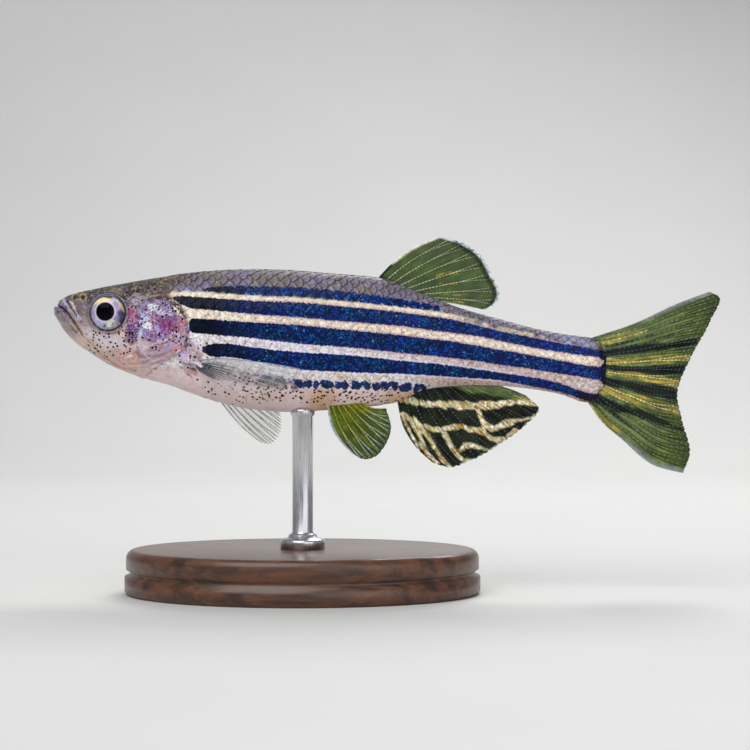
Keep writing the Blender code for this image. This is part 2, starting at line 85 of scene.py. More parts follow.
# The rear edge of the gill cover and the gap between the lips, by distance back and height.
GILL_LINE = (
    (6.9, 22.5), (7.2, 20.9), (7.5, 19.95), (8.2, 19.3), (8.75, 18.65), (9.1, 17.75),
    (9.0, 16.95), (8.5, 16.3), (7.6, 15.7), (6.75, 15.2), (6.1, 14.6), (5.6, 13.2),
)
MOUTH_LINE = ((-0.6, 19.62), (0.2, 19.4), (0.62, 19.2), (1.0, 18.75), (1.42, 18.1), (1.9, 17.4))

# The stand: where the rod's axis is, and its sizes.
STAND_AT = 16.75
BASE_LENGTH = 24.0
BASE_WIDTH = 19.0
BASE_HEIGHT = 3.0
ROD_RADIUS = 0.7


def smooth(knots, values):
    """A function that passes through the values at the knots and turns evenly between them."""
    knots = np.asarray(knots, float)
    values = np.asarray(values, float)
    steps = np.diff(knots)
    rises = np.diff(values) / steps
    inner = (rises[:-1] * steps[1:] + rises[1:] * steps[:-1]) / (steps[:-1] + steps[1:])
    slopes = np.concatenate([rises[:1], inner, rises[-1:]])

    def value(at):
        i = np.clip(np.searchsorted(knots, at, side="right") - 1, 0, len(steps) - 1)
        u = np.clip((at - knots[i]) / steps[i], 0, 1)
        rest = 1 - u
        ends = values[i] * (1 + 2 * u) * rest * rest + values[i + 1] * u * u * (3 - 2 * u)
        return ends + steps[i] * u * rest * (slopes[i] * rest - slopes[i + 1] * u)

    return value


def through(points):
    """A curve from 0 to 1 through the points, by distance along them."""
    points = np.asarray(points, float)
    along = np.concatenate([[0], np.cumsum(np.linalg.norm(np.diff(points, axis=0), axis=1))])
    axes = [smooth(along / along[-1], points[:, k]) for k in range(points.shape[1])]
    return lambda t: np.stack([axis(np.asarray(t, float)) for axis in axes], -1)


def step(low, high, value):
    """0 below low, 1 above high, and an even turn between."""
    t = np.clip((value - low) / (high - low), 0, 1)
    return t * t * (3 - 2 * t)


def between(value, start, full, fading, end):
    """1 from full to fading, 0 outside start and end, and even turns between."""
    return step(start, full, value) * step(end, fading, value)


def box(right, down, across, along):
    """1 in a soft-edged box of the camera's frame, with the four places of between each way."""
    return between(right, *across) * between(down, *along)


def mix(a, b, share):
    """Value a turned towards value b by a share."""
    return a + (b - a) * share


def tint(a, b, share):
    """Colour a turned towards colour b by a share for each point."""
    return a + (b - a) * np.asarray(share)[..., None]


def rgb(red, green, blue):
    """A colour as the eye sees it, 0 to 255, turned into amounts of light."""
    seen = np.array((red, green, blue)) / 255
    return np.where(seen <= 0.04045, seen / 12.92, ((seen + 0.055) / 1.055) ** 2.4)


def hashed(cells, seed):
    """A fixed random number, 0 to 1, for each whole-number cell."""
    mixed = cells[..., 0] * 73856093 ^ cells[..., 1] * 19349663 ^ cells[..., 2] * 83492791 ^ seed * 2654435761
    mixed = (mixed ^ (mixed >> 13)) * 1274126177 & 0xFFFFFFFF
    return ((mixed ^ (mixed >> 16)) & 0xFFFFFF) / 0xFFFFFF


def noise(points, size, seed):
    """Smooth random values, 0 to 1, whose lumps are this many millimetres apart."""
    scaled = points / size
    cell = np.floor(scaled).astype(np.int64)
    part = scaled - cell
    part = part * part * (3 - 2 * part)
    total = np.zeros(points.shape[:-1])
    for corner in range(8):
        offset = np.array([corner & 1, corner >> 1 & 1, corner >> 2])
        weight = np.prod(np.where(offset, part, 1 - part), axis=-1)
        total += weight * hashed(cell + offset, seed)
    return total


def line_distance(points, line):
    """Distance to a side-view line, which side of it, and how far along it, 0 to 1."""
    line = np.asarray(line, float)
    lengths = np.linalg.norm(np.diff(line, axis=0), axis=1)
    starts = np.concatenate([[0], np.cumsum(lengths)])
    best = np.full(points.shape[:-1], np.inf)
    side = np.zeros_like(best)
    along = np.zeros_like(best)
    for a, b, length, start in zip(line, line[1:], lengths, starts):
        way = (b - a) / length
        t = np.clip((points - a) @ way, 0, length)
        apart = points - (a + t[..., None] * way)
        distance = np.linalg.norm(apart, axis=-1)
        nearer = distance < best
        best = np.where(nearer, distance, best)
        turn = way[0] * apart[..., 1] - way[1] * apart[..., 0]
        side = np.where(nearer, np.sign(turn), side)
        along = np.where(nearer, (start + t) / starts[-1], along)
    return best, side, along


NUMBERS = np.arange(len(SECTIONS))
TOP_BACK, TOP_HEIGHT, LOW_BACK, LOW_HEIGHT, HALF_WIDTH = (smooth(NUMBERS, SECTIONS[:, k]) for k in range(5))


def section_points(number, angle):
    """Points of the plain body at a section number and an angle from the right side over the back."""
    top = np.stack([TOP_BACK(number), 0 * number, TOP_HEIGHT(number)], -1)
    low = np.stack([LOW_BACK(number), 0 * number, LOW_HEIGHT(number)], -1)
    centre = low + (top - low) * WIDEST_AT
    rise, run = np.sin(angle), np.cos(angle)
    power = np.where(rise >= 0, 2 / BACK_FULLNESS, 2 / BELLY_FULLNESS)
    height = np.abs(rise) ** power
    across = np.sign(run) * np.abs(run) ** power
    edge = centre + np.where((rise >= 0)[..., None], top - centre, low - centre) * height[..., None]
    edge[..., 1] += HALF_WIDTH(number) * across
    return edge


def section_number(back):
    """Place among the cross-sections, which may be between two of them."""
    fine = np.linspace(0, NUMBERS[-1], 2000)
    return np.interp(back, (TOP_BACK(fine) + LOW_BACK(fine)) / 2, fine)


def side(back, height):
    """Half the body's width at this place and height, or 0 outside the body."""
    number = section_number(back)
    top, low = TOP_HEIGHT(number), LOW_HEIGHT(number)
    centre = low + (top - low) * WIDEST_AT
    above = height >= centre
    share = np.abs(height - centre) / np.where(above, top - centre, centre - low)
    fullness = np.where(above, BACK_FULLNESS, BELLY_FULLNESS)
    return HALF_WIDTH(number) * np.clip(1 - np.minimum(share, 1) ** fullness, 0, 1) ** (1 / fullness)


def underside(back, across):
    """Height of the body's lower surface at this place and distance to the side."""
    number = section_number(back)
    top, low = TOP_HEIGHT(number), LOW_HEIGHT(number)
    centre = low + (top - low) * WIDEST_AT
    share = np.minimum(np.abs(across) / HALF_WIDTH(number), 1.0)
    return centre - (centre - low) * (1 - share**BELLY_FULLNESS) ** (1 / BELLY_FULLNESS)


class Body:
    """The left half of the body as a grid: rings from lip to tail, each from the back to the belly."""

    def __init__(self, spacing_head, spacing_trunk, around):
        fine = np.linspace(0.02, NUMBERS[-1], 6000)
        steps = [
            np.hypot(np.diff(TOP_BACK(fine)), np.diff(TOP_HEIGHT(fine))),
            np.hypot(np.diff(LOW_BACK(fine)), np.diff(LOW_HEIGHT(fine))),
            np.abs(np.diff(HALF_WIDTH(fine))),
        ]
        middle = (TOP_BACK(fine) + LOW_BACK(fine)) / 2
        spacing = mix(spacing_head, spacing_trunk, step(*HEAD_ENDS, middle[1:]))
        along = np.concatenate([[0], np.cumsum(np.max(steps, axis=0) / spacing)])
        self.number = np.interp(np.arange(0, along[-1], 1.0), along, fine)
        turns = np.linspace(0, 1, 361)
        self.share = np.linspace(0, 1, around + 1)
        numbers, angles = np.broadcast_arrays(self.number[:, None], np.pi * (0.5 + turns))
        rings = section_points(numbers, angles)
        lengths = np.linalg.norm(np.diff(rings, axis=1), axis=2)
        arcs = np.concatenate([np.zeros((len(rings), 1)), np.cumsum(lengths, axis=1)], axis=1)
        self.girth = arcs[:, -1]
        placed = []
        for ring, arc in zip(rings, arcs):
            at = self.share * arc[-1]
            placed.append(np.stack([np.interp(at, arc, ring[:, k]) for k in range(3)], -1))
        self.points = np.array(placed)
        self.points[:, 0, 1] = 0
        self.points[:, -1, 1] = 0
        self.back = self.points[..., 0].mean(axis=1)
        self.normals = self.find_normals(self.points)

    def girth_at(self, back):
        """Length of the arc from back to belly."""
        return np.interp(back, self.back, self.girth)

    def size_at(self, back):
        """Girth as a share of the largest one."""
        return self.girth_at(back) / self.girth.max()

    def ring_at(self, back):
        """Place among the rings, which may be between two of them."""
        return np.interp(back, self.back, np.arange(len(self.back)))

    @staticmethod
    def find_normals(points):
        normals = np.cross(np.gradient(points, axis=1), np.gradient(points, axis=0))
        for edge in (0, -1):
            normals[:, edge, 1] = 0
        return normals / np.maximum(np.linalg.norm(normals, axis=2, keepdims=True), 1e-9)

    def at(self, ring, share):
        """Points and outward directions at ring places and shares of the way from back to belly.

        A share below 0 or above 1 crosses to the right side.
        """
        crossed = (share < 0) | (share > 1)
        share = np.abs(share)
        share = np.where(share > 1, 2 - share, share) * (self.points.shape[1] - 1)
        i = np.clip(np.floor(ring).astype(int), 0, len(self.points) - 2)
        k = np.clip(np.floor(share).astype(int), 0, self.points.shape[1] - 2)
        u = (ring - i)[..., None]
        v = (share - k)[..., None]
        found = []
        for grid in (self.points, self.normals):
            near = grid[i, k] * (1 - v) + grid[i, k + 1] * v
            far = grid[i + 1, k] * (1 - v) + grid[i + 1, k + 1] * v
            value = near * (1 - u) + far * u
            value[..., 1] *= np.where(crossed, -1, 1)
            found.append(value)
        return found


def link(name, data):
    """A new object of the scene."""
    made = bpy.data.objects.new(name, data)
    bpy.context.scene.collection.objects.link(made)
    return made


def add_mesh(name, points, faces, finish, values=None):
    """A piece from points in millimetres, faces of one or more sizes, and values that its material reads."""
    mesh = bpy.data.meshes.new(name)
    placed = (np.asarray(points, float) - (TOTAL_LENGTH / 2, 0, 0)) * MM
    sizes = np.concatenate([np.full(len(group), group.shape[1]) for group in faces])
    corners = np.concatenate([group.ravel() for group in faces])
    mesh.vertices.add(len(placed))
    mesh.vertices.foreach_set("co", placed.astype(np.float32).ravel())
    mesh.loops.add(len(corners))
    mesh.loops.foreach_set("vertex_index", corners.astype(np.int32))
    mesh.polygons.add(len(sizes))
    starts = np.concatenate([[0], np.cumsum(sizes)[:-1]])
    mesh.polygons.foreach_set("loop_start", starts.astype(np.int32))
    mesh.update(calc_edges=True)
    for key, value in (values or {}).items():
        value = np.asarray(value, float)
        if value.ndim == 2:
            layer = mesh.attributes.new(key, "FLOAT_COLOR", "POINT")
            four = np.concatenate([value, np.ones((len(value), 1))], axis=1)
            layer.data.foreach_set("color", four.astype(np.float32).ravel())
        else:
            layer = mesh.attributes.new(key, "FLOAT", "POINT")
            layer.data.foreach_set("value", value.astype(np.float32))
    mesh.shade_smooth()
    mesh.materials.append(finish)
    piece = link(name, mesh)
    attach(piece, "root")
    return piece


def grid_faces(rows, columns, start=0, closed=False):
    """Four-sided faces over a grid of points, which may close on itself across its columns."""
    last = columns if closed else columns - 1
    i, k = np.meshgrid(np.arange(rows - 1), np.arange(last), indexing="ij")
    after = (k + 1) % columns
    corners = [i * columns + k, (i + 1) * columns + k, (i + 1) * columns + after, i * columns + after]
    return start + np.stack(corners, -1).reshape(-1, 4)


def grid_edge(rows, columns):
    """Numbers of the points round the outside of a grid, in order."""
    index = np.arange(rows * columns).reshape(rows, columns)
    return np.concatenate([index[0], index[1:, -1], index[-1, -2::-1], index[-2:0:-1, 0]])


def fan(edge, middle):
    """Three-sided faces from a closed edge to one point."""
    return np.stack([edge, np.roll(edge, -1), np.full(len(edge), middle)], -1)


class Finish:
    """A material built from nodes, whose inputs are numbers, colours or the outputs of other nodes."""

    def __init__(self, name):
        self.material = bpy.data.materials.new(name)
        self.material.use_nodes = True
        self.tree = self.material.node_tree
        self.shader = self.tree.nodes["Principled BSDF"]
        place = self.add("ShaderNodeTexCoord").outputs["Object"]
        self.place = self.move("MULTIPLY", place, (1 / MM,) * 3)

    def put(self, socket, value):
        if isinstance(value, bpy.types.NodeSocket):
            self.tree.links.new(value, socket)
        elif isinstance(value, np.ndarray):
            socket.default_value = (*value, 1.0)
        else:
            socket.default_value = value

    def add(self, kind, *inputs, named=None, **settings):
        node = self.tree.nodes.new(kind)
        for key, value in settings.items():
            setattr(node, key, value)
        for socket, value in zip(node.inputs, inputs):
            if value is not None:
                self.put(socket, value)
        for key, value in (named or {}).items():
            self.put(node.inputs[key], value)
        return node

    def value(self, key):
        return self.add("ShaderNodeAttribute", attribute_name=key).outputs["Fac"]

    def colour(self, key):
        return self.add("ShaderNodeAttribute", attribute_name=key).outputs["Color"]

    def math(self, operation, *inputs):
        return self.add("ShaderNodeMath", *inputs, operation=operation).outputs[0]

    def times(self, first, second):
        return self.math("MULTIPLY", first, second)

    def move(self, operation, place, by):
        return self.add("ShaderNodeVectorMath", place, by, operation=operation).outputs[0]

    def texture(self, kind, place, **inputs):
        return self.add("ShaderNodeTex" + kind, named={"Vector": place, **inputs})

    def parts(self, colour):
        """The three random numbers held by a colour."""
        return self.add("ShaderNodeSeparateColor", colour).outputs[:3]

    def grey(self, value):
        return self.add("ShaderNodeCombineColor", value, value, value).outputs[0]

    def noise(self, scale, detail=2.0, seed=0.0):
        place = self.move("ADD", self.place, (seed * 20,) * 3)
        return self.texture("Noise", place, Scale=scale, Detail=detail).outputs[0]

    def cells(self, scale, bent=0.0):
        """Distance from the middle of each random cell, warped by bent, and the cell's own random colour."""
        bends = self.texture("Noise", self.place, Scale=scale * 0.8, Detail=1.0).outputs["Color"]
        moved = self.move("MULTIPLY", bends, (2 * bent,) * 3)
        place = self.move("ADD", self.place, moved)
        node = self.texture("Voronoi", place, Scale=scale)
        return node.outputs["Distance"], node.outputs["Color"]

    def ramp(self, value, low, high, to_low=0.0, to_high=1.0):
        ends = (low, high, to_low, to_high)
        return self.add("ShaderNodeMapRange", value, *ends, interpolation_type="SMOOTHSTEP").outputs[0]

    def blend(self, share, first, second, kind="MIX"):
        node = self.add("ShaderNodeMix", data_type="RGBA", blend_type=kind)
        self.put(node.inputs[0], share)
        self.put(node.inputs[6], first)
        self.put(node.inputs[7], second)
        return node.outputs[2]

    def bump(self, height, strength, distance):
        values = {"Strength": strength, "Distance": distance * MM, "Height": height}
        self.put(self.shader.inputs["Normal"], self.add("ShaderNodeBump", named=values).outputs[0])

    def shade(self, **inputs):
        for key, value in inputs.items():
            self.put(self.shader.inputs[key.replace("_", " ")], value)
        return self.material


def flank_finish():
    """Skin and scales: dark stripes with ragged edges and blue glitter over the painted colours."""
    f = Finish("fish_skin")
    ragged = f.times(f.math("SUBTRACT", f.noise(6.5, 4.0), 0.5), 0.26)
    inside = f.ramp(f.math("ADD", f.value("dark"), ragged), -0.03, 0.03)
    away, random = f.cells(9.0, 0.1)
    first, second, third = f.parts(random)
    bright = f.times(f.ramp(first, 0.2, 0.95, 0.05, 1.0), f.ramp(away, 0.8, 0.2))
    bright = f.times(bright, f.ramp(f.noise(1.6, 3.0), 0.3, 0.62, 0.3, 1.0))
    bright = f.times(bright, f.value("spark"))
    hue = f.ramp(f.noise(1.0), 0.35, 0.65)
    glitter = f.blend(hue, rgb(14, 84, 214), rgb(8, 116, 196))
    glitter = f.blend(f.ramp(second, 0.9, 0.96), glitter, rgb(64, 70, 190))
    glitter = f.blend(f.ramp(third, 0.93, 0.98), glitter, rgb(110, 190, 236))
    ink = f.blend(bright, f.colour("ink"), glitter)
    grain_away, grain_random = f.cells(7.0, 0.12)
    lightness, darkness, _ = f.parts(grain_random)
    gleam = f.value("gleam")
    shade = f.times(f.ramp(darkness, 0.45, 0.05, 0.0, 0.7), gleam)
    tone = f.blend(shade, f.colour("paint"), rgb(172, 146, 132), "MULTIPLY")
    seam = f.times(f.ramp(grain_away, 0.5, 0.95, 0.0, 0.5), gleam)
    tone = f.blend(seam, tone, rgb(168, 150, 146), "MULTIPLY")
    fleck = f.times(f.ramp(lightness, 0.45, 0.9), f.ramp(grain_away, 0.6, 0.1))
    tone = f.blend(f.times(fleck, gleam), tone, rgb(255, 253, 248))
    pearl = f.value("pearl")
    for scale, seed, width, colours in (
        (5.0, 3.0, 0.035, (rgb(96, 40, 100), rgb(110, 60, 140))),
        (4.0, 0.0, 0.025, (rgb(240, 234, 248), rgb(150, 148, 226))),
        (6.5, 7.0, 0.022, (rgb(210, 150, 190), rgb(236, 232, 240))),
    ):
        ridge = f.math("ABSOLUTE", f.math("SUBTRACT", f.noise(scale, 1.0, seed), 0.5))
        line = f.ramp(ridge, width, width * 0.4)
        broken = f.ramp(f.noise(2.2, 1.0, seed + 1), 0.45, 0.55)
        line = f.times(line, broken)
        colour = f.blend(f.ramp(f.noise(1.7, 1.0, seed + 2), 0.45, 0.55), *colours)
        tone = f.blend(f.times(line, pearl), tone, colour)
    fringe = f.ramp(f.math("ADD", f.value("dark"), ragged), -0.16, -0.04, 0.0, 0.8)
    fringe = f.times(fringe, f.ramp(f.value("lilac"), -0.7, -0.2))
    edge = f.blend(f.value("lilac"), rgb(186, 150, 158), rgb(236, 230, 255))
    tone = f.blend(f.times(fringe, f.value("spark")), tone, edge)
    shown = f.blend(inside, tone, ink)
    dot_away, dot_random = f.cells(4.4)
    chosen = f.math("LESS_THAN", f.parts(dot_random)[0], f.value("pepper"))
    on_trunk = f.ramp(f.add("ShaderNodeSeparateXYZ", f.place).outputs[0], -12.5, -11.5)
    rim = f.times(f.times(f.ramp(dot_away, 0.54, 0.42, 0.0, 0.6), chosen), on_trunk)
    shown = f.blend(rim, shown, rgb(206, 176, 116))
    dot = f.times(f.ramp(dot_away, 0.4, 0.3), chosen)
    shown = f.blend(dot, shown, rgb(12, 12, 24))
    f.bump(f.noise(9.0, 3.0), 0.3, 0.03)
    rough = f.math("SUBTRACT", 0.45, f.times(bright, 0.15))
    return f.shade(
        Base_Color=shown, Roughness=rough, Specular_IOR_Level=0.05, Coat_Weight=0.1, Coat_Roughness=0.12,
    )


def eye_finish():
    """The eye: metallic where the iris shines, with fine streaks, below a thin clear coat."""
    f = Finish("fish_eye")
    streaks = f.ramp(f.noise(14.0, 3.0), 0.3, 0.7, 0.82, 1.12)
    shown = f.blend(1.0, f.colour("paint"), f.grey(streaks), "MULTIPLY")
    return f.shade(
        Base_Color=shown, Roughness=0.35, Metallic=f.value("shine"), Specular_IOR_Level=0.0, Coat_Weight=0.1,
        Coat_Roughness=0.02,
    )


def fin_finish():
    """Thin clear membrane and its rays, with colour and cover painted on."""
    f = Finish("fish_fin")
    fleck = f.ramp(f.noise(6.0, 3.0), 0.35, 0.65, 0.75, 1.2)
    shown = f.blend(1.0, f.colour("paint"), f.grey(fleck), "MULTIPLY")
    f.bump(f.noise(8.0, 2.0), 0.2, 0.02)
    return f.shade(
        Base_Color=shown, Alpha=f.value("cover"), Roughness=0.4, Specular_IOR_Level=0.08, Coat_Weight=0.1,
        Coat_Roughness=0.15,
    )


def wood_finish():
    """Dark varnished wood with its grain along the base."""
    f = Finish("stand_wood")
    stretched = f.move("MULTIPLY", f.place, (0.12, 1.0, 1.0))
    grain = f.texture("Noise", stretched, Scale=1.6, Detail=6.0, Distortion=0.6).outputs[0]
    pores = f.texture("Noise", stretched, Scale=9.0, Detail=4.0).outputs[0]
    shown = f.blend(f.ramp(grain, 0.3, 0.7), rgb(52, 28, 16), rgb(104, 62, 36))
    shown = f.blend(f.ramp(pores, 0.55, 0.7, 0.0, 0.6), shown, rgb(30, 15, 8))
    f.bump(pores, 0.15, 0.04)
    rough = f.ramp(grain, 0.2, 0.8, 0.32, 0.45)
    return f.shade(Base_Color=shown, Roughness=rough, Coat_Weight=0.3, Coat_Roughness=0.2)


def steel_finish():
    """Steel brushed along the rod."""
    f = Finish("stand_steel")
    stretched = f.move("MULTIPLY", f.place, (1.0, 1.0, 0.04))
    brushed = f.texture("Noise", stretched, Scale=14.0, Detail=4.0).outputs[0]
    shown = f.blend(f.ramp(brushed, 0.3, 0.7), rgb(176, 178, 182), rgb(214, 215, 218))
    rough = f.ramp(brushed, 0.3, 0.7, 0.2, 0.34)
    return f.shade(Base_Color=shown, Roughness=rough, Metallic=1.0)


# Dark stripes as the camera sees them in its frame: distance right, then the stripe's top and bottom edge.
STRIPES = (
    (
        (172.5, 296.5, 299), (181, 296, 304), (190, 296.5, 308.5), (200, 297, 309), (250, 300.5, 314),
        (300, 302.5, 317.5), (350, 307, 322), (400, 312, 326), (430, 316, 330), (450, 319, 332.5),
        (480, 326, 336.5), (500, 331, 341), (520, 335, 345), (540, 339, 349), (560, 343, 352),
        (580, 346.5, 355), (598, 350, 357), (601, 350, 359), (604, 345, 361.5),
    ),
    (
        (189, 321, 330), (192, 318, 333), (250, 322, 338), (300, 325, 344), (350, 330, 347.5),
        (400, 335, 353), (430, 339, 355.5), (450, 341, 358), (480, 346, 361.5), (500, 350, 365),
        (520, 353, 367.5), (540, 357, 370.5), (560, 360.5, 373.5), (580, 364.5, 377), (598, 367, 380),
        (601, 366, 381.5), (604, 361.5, 386),
    ),
    (
        (200, 347, 353), (208, 343.5, 357), (230, 343.5, 357), (250, 347, 360.5), (280, 350.5, 367),
        (300, 352, 370), (350, 355, 372.5), (400, 360.5, 374), (430, 363, 375.5), (450, 365.5, 377),
        (480, 369.5, 378.5), (500, 372.5, 380.5), (520, 375.5, 384), (540, 378.5, 388), (560, 383, 392),
        (575, 389, 397), (590, 393.5, 402), (599, 394.5, 406), (604, 386, 408),
    ),
)
UPPER_DASHES = (
    (204, 288, 291), (222, 286, 293), (240, 285.5, 294.5), (260, 286, 295.5), (300, 287, 297),
    (350, 291.5, 301.5), (400, 298.5, 307), (440, 306, 311.5),
)
LOWER_DASHES = (
    (286, 377, 385), (300, 379.5, 390), (350, 381, 392.5), (390, 382, 393), (410, 382.5, 395),
    (430, 385, 394),
)
# Distance right and down of the upper edge of the first light stripe, and of the belly's upper edge.
YELLOW_AT = (150, 200, 250, 300, 350, 400, 430, 460, 530, 600)
YELLOW_TOP = (292, 292.5, 296, 298.5, 302, 307.5, 311, 316, 333, 352)
BELLY_AT = (200, 250, 300, 400, 500, 600)
BELLY_TOP = (366, 374, 383, 387, 384, 402)
# Where the dark edge at the root of the tail fin starts: dark scales, with painted shade where the body meets
# the fin.
STEM_END = 603.7
# Bare skin round the root of the pectoral fin in the camera's frame: place and half sizes.
SHOULDER = (190.5, 361, 12, 19)


def seen_at(points):
    """Where points show in the camera's frame, with those of the right side mirrored to the left."""
    share = VIEW_AWAY / (VIEW_AWAY - np.abs(points[..., 1]))
    right = FRAME / 2 + (points[..., 0] - TOTAL_LENGTH / 2 - VIEW_CENTRE[0]) * PIXELS_PER_MM * share
    down = FRAME / 2 - (points[..., 2] - VIEW_CENTRE[1]) * PIXELS_PER_MM * share
    return right, down


def side_view(points):
    """Distance back and height of where points show against the plane through the fish's middle."""
    share = VIEW_AWAY / (VIEW_AWAY - np.abs(points[..., 1:2]))
    centre = np.array((TOTAL_LENGTH / 2 + VIEW_CENTRE[0], VIEW_CENTRE[1]))
    return centre + (points[..., (0, 2)] - centre) * share


def on_line(frame_places, line, widths, ragged=0.0):
    """1 on a line of the camera's frame and 0 beyond its half widths, which may change along it."""
    away, _, along = line_distance(frame_places, line)
    half = np.interp(along, np.linspace(0, 1, len(widths)), widths)
    return step(half * 1.25 + 0.2, half * 0.75 - 0.2, away + ragged)


def stripe_depth(right, down, stripe):
    """How far inside a stripe a place is, in millimetres, and less than 0 outside it."""
    stripe = np.array(stripe, float)
    top = np.interp(right, stripe[:, 0], stripe[:, 1])
    low = np.interp(right, stripe[:, 0], stripe[:, 2])
    inside = np.minimum(down - top, low - down)
    ends = np.minimum(right - stripe[0, 0], stripe[-1, 0] - right)
    return np.minimum(inside, ends) / PIXELS_PER_MM


def stripe_middle(right, k):
    """How far down the middle of a dark stripe is, or of the lowest dashes."""
    stripe = np.array((*STRIPES, LOWER_DASHES)[k])
    return np.interp(right, stripe[:, 0], (stripe[:, 1] + stripe[:, 2]) / 2)


def within(right, down, across, along, wide, tall, soft=0.15):
    """1 in an oval of the camera's frame and 0 outside it."""
    return step(1 + soft, 1 - soft, np.hypot((right - across) / wide, (down - along) / tall))


def on_shoulder(right, down):
    """1 on the bare skin round the root of the pectoral fin, and 0 away from it."""
    return within(right, down, *SHOULDER)


def on_nape(right, down):
    """1 on the dark skin between the top corner of the gill cover and the fronts of the stripes."""
    edge = np.interp(down, (295, 297, 301, 304, 308, 312, 316, 322), (170, 172, 176, 181, 184, 185, 187, 188))
    return step(1.2, -1.2, right - edge) * between(down, 287, 290, 322, 332)


class BodyMarks:
    """Painted values of the body behind the head, where rim is 1 at the free edge of a scale."""

    def __init__(self, points, rim):
        self.points = points
        self.rim = np.asarray(rim)
        self.right, self.down = seen_at(points)
        self.fine = noise(points, 0.22, 6)
        self.mottle = noise(points, 0.5, 8)
        self.below_yellow = self.down - np.interp(self.right, YELLOW_AT, YELLOW_TOP)
        self.below_belly = self.down - np.interp(self.right, BELLY_AT, BELLY_TOP)
        self.flank = step(0, 3, self.below_yellow) * step(8, -2, self.below_belly)
        self.late = step(440, 490, self.right)
        self.tail_end = step(572, 600, self.right)
        self.under_end = step(572, 584, self.right) * step(391, 396, self.down - 0.3 * (self.right - 590))

    def lumps(self, size, seed, low, high):
        """0 to 1 in random lumps of this size."""
        return step(low, high, noise(self.points, size, seed))

    def back(self):
        """Colour of the back."""
        paint = tint(rgb(82, 76, 76), rgb(120, 113, 134), self.mottle)
        paint = tint(paint, rgb(112, 104, 72), self.lumps(0.8, 9, 0.4, 0.75) * 0.7 * (1 - self.late))
        paint = tint(paint, rgb(168, 164, 192), step(0.6, 0.85, self.fine) * (0.3 + 0.2 * self.late))
        brown = tint(rgb(58, 51, 48), rgb(122, 106, 78), self.mottle)
        paint = tint(paint, brown, step(250, 175, self.right) * 0.85)
        brown = tint(rgb(40, 34, 34), rgb(150, 122, 82), step(0.5, 0.8, self.fine))
        paint = tint(paint, brown, self.tail_end * 0.85)
        for far, near, places, low, high, colour, strength in (
            (13, 4, (545, 570, 590, 604), 0.3, 0.65, (176, 184, 218), 0.65),
            (14, 5, (165, 190, 240, 290), 0.4, 0.7, (140, 150, 204), 0.85),
        ):
            sheen = step(far, near, -self.below_yellow) * between(self.right, *places)
            paint = tint(paint, rgb(*colour), self.lumps(0.35, 10, low, high) * sheen * strength)
        paint = tint(paint, rgb(160, 150, 178), between(self.rim, 0.0, 0.18, 0.3, 0.6) * 0.45)
        return paint * (1 - 0.72 * self.rim)[..., None]

    def light(self, back):
        """Colours of the back, the light stripes and the belly."""
        right, fine, mottle = self.right, self.fine, self.mottle
        wobble = (noise(self.points, 1.4, 5) - 0.5) * 2.0
        yellow = tint(rgb(255, 250, 234), rgb(238, 217, 170), fine)
        yellow = tint(yellow, tint(back, rgb(206, 198, 160), step(0.45, 0.75, mottle)), self.late)
        peach = tint(rgb(255, 248, 234), rgb(238, 218, 194), fine)
        lilac = tint(rgb(248, 248, 255), rgb(232, 222, 224), fine)
        lilac = tint(lilac, rgb(222, 204, 200), step(320, 500, right))
        gold = self.lumps(0.32, 13, 0.5, 0.7) * step(285, 300, right)
        pink = tint(tint(rgb(250, 249, 255), rgb(236, 226, 226), fine), rgb(222, 196, 140), gold * 0.7)
        pink = tint(pink, rgb(216, 186, 172), step(400, 460, right))

        paint = tint(back, yellow, step(-1.0, 0.5, self.below_yellow - 2 * self.late * wobble))
        for k, colour in enumerate((peach, lilac, pink)):
            paint = tint(paint, colour, step(-1, 1, self.down - stripe_middle(right, k)))
        ends = step(593, 602, right + (mottle - 0.5) * 4) * step(-1, 1, self.below_yellow)
        paint = tint(paint, rgb(176, 160, 130), ends * 0.7)
        warm = self.lumps(2.6, 11, 0.45, 0.8) * step(384, 394, self.down) * step(240, 300, right)
        belly = tint(rgb(240, 218, 220), rgb(222, 180, 150), warm)
        belly = tint(belly, rgb(206, 180, 178), self.lumps(0.6, 12, 0.5, 0.9) * 0.4)
        return tint(paint, belly, step(-2.5, 2.5, self.below_belly + wobble))

    def cloudy(self):
        """1 on the hazy dark patch above the front of the belly."""
        away = np.abs(self.down - np.interp(self.right, (215, 250, 298), (372, 379, 384)))
        cloudy = step(8, 4, away) * between(self.right, 212, 230, 297, 303)
        return cloudy * (0.55 + 0.45 * step(245, 275, self.right))

    def paint(self, cloudy):
        """Colours of everything but the dark stripes."""
        paint = self.light(self.back())
        haze = tint(rgb(22, 48, 100), rgb(96, 100, 100), self.lumps(0.45, 16, 0.6, 0.8))
        paint = tint(paint, haze, cloudy * self.lumps(0.26, 17, 0.2, 0.4) * 0.95)
        paint = paint * (1 - 0.3 * self.rim * self.flank - 0.03 * self.rim)[..., None]
        paint = tint(paint, tint(rgb(46, 42, 42), rgb(122, 106, 78), self.fine), self.under_end * 0.9)
        nape = tint(rgb(66, 54, 50), rgb(116, 94, 84), self.mottle)
        return tint(paint, nape, on_nape(self.right, self.down))

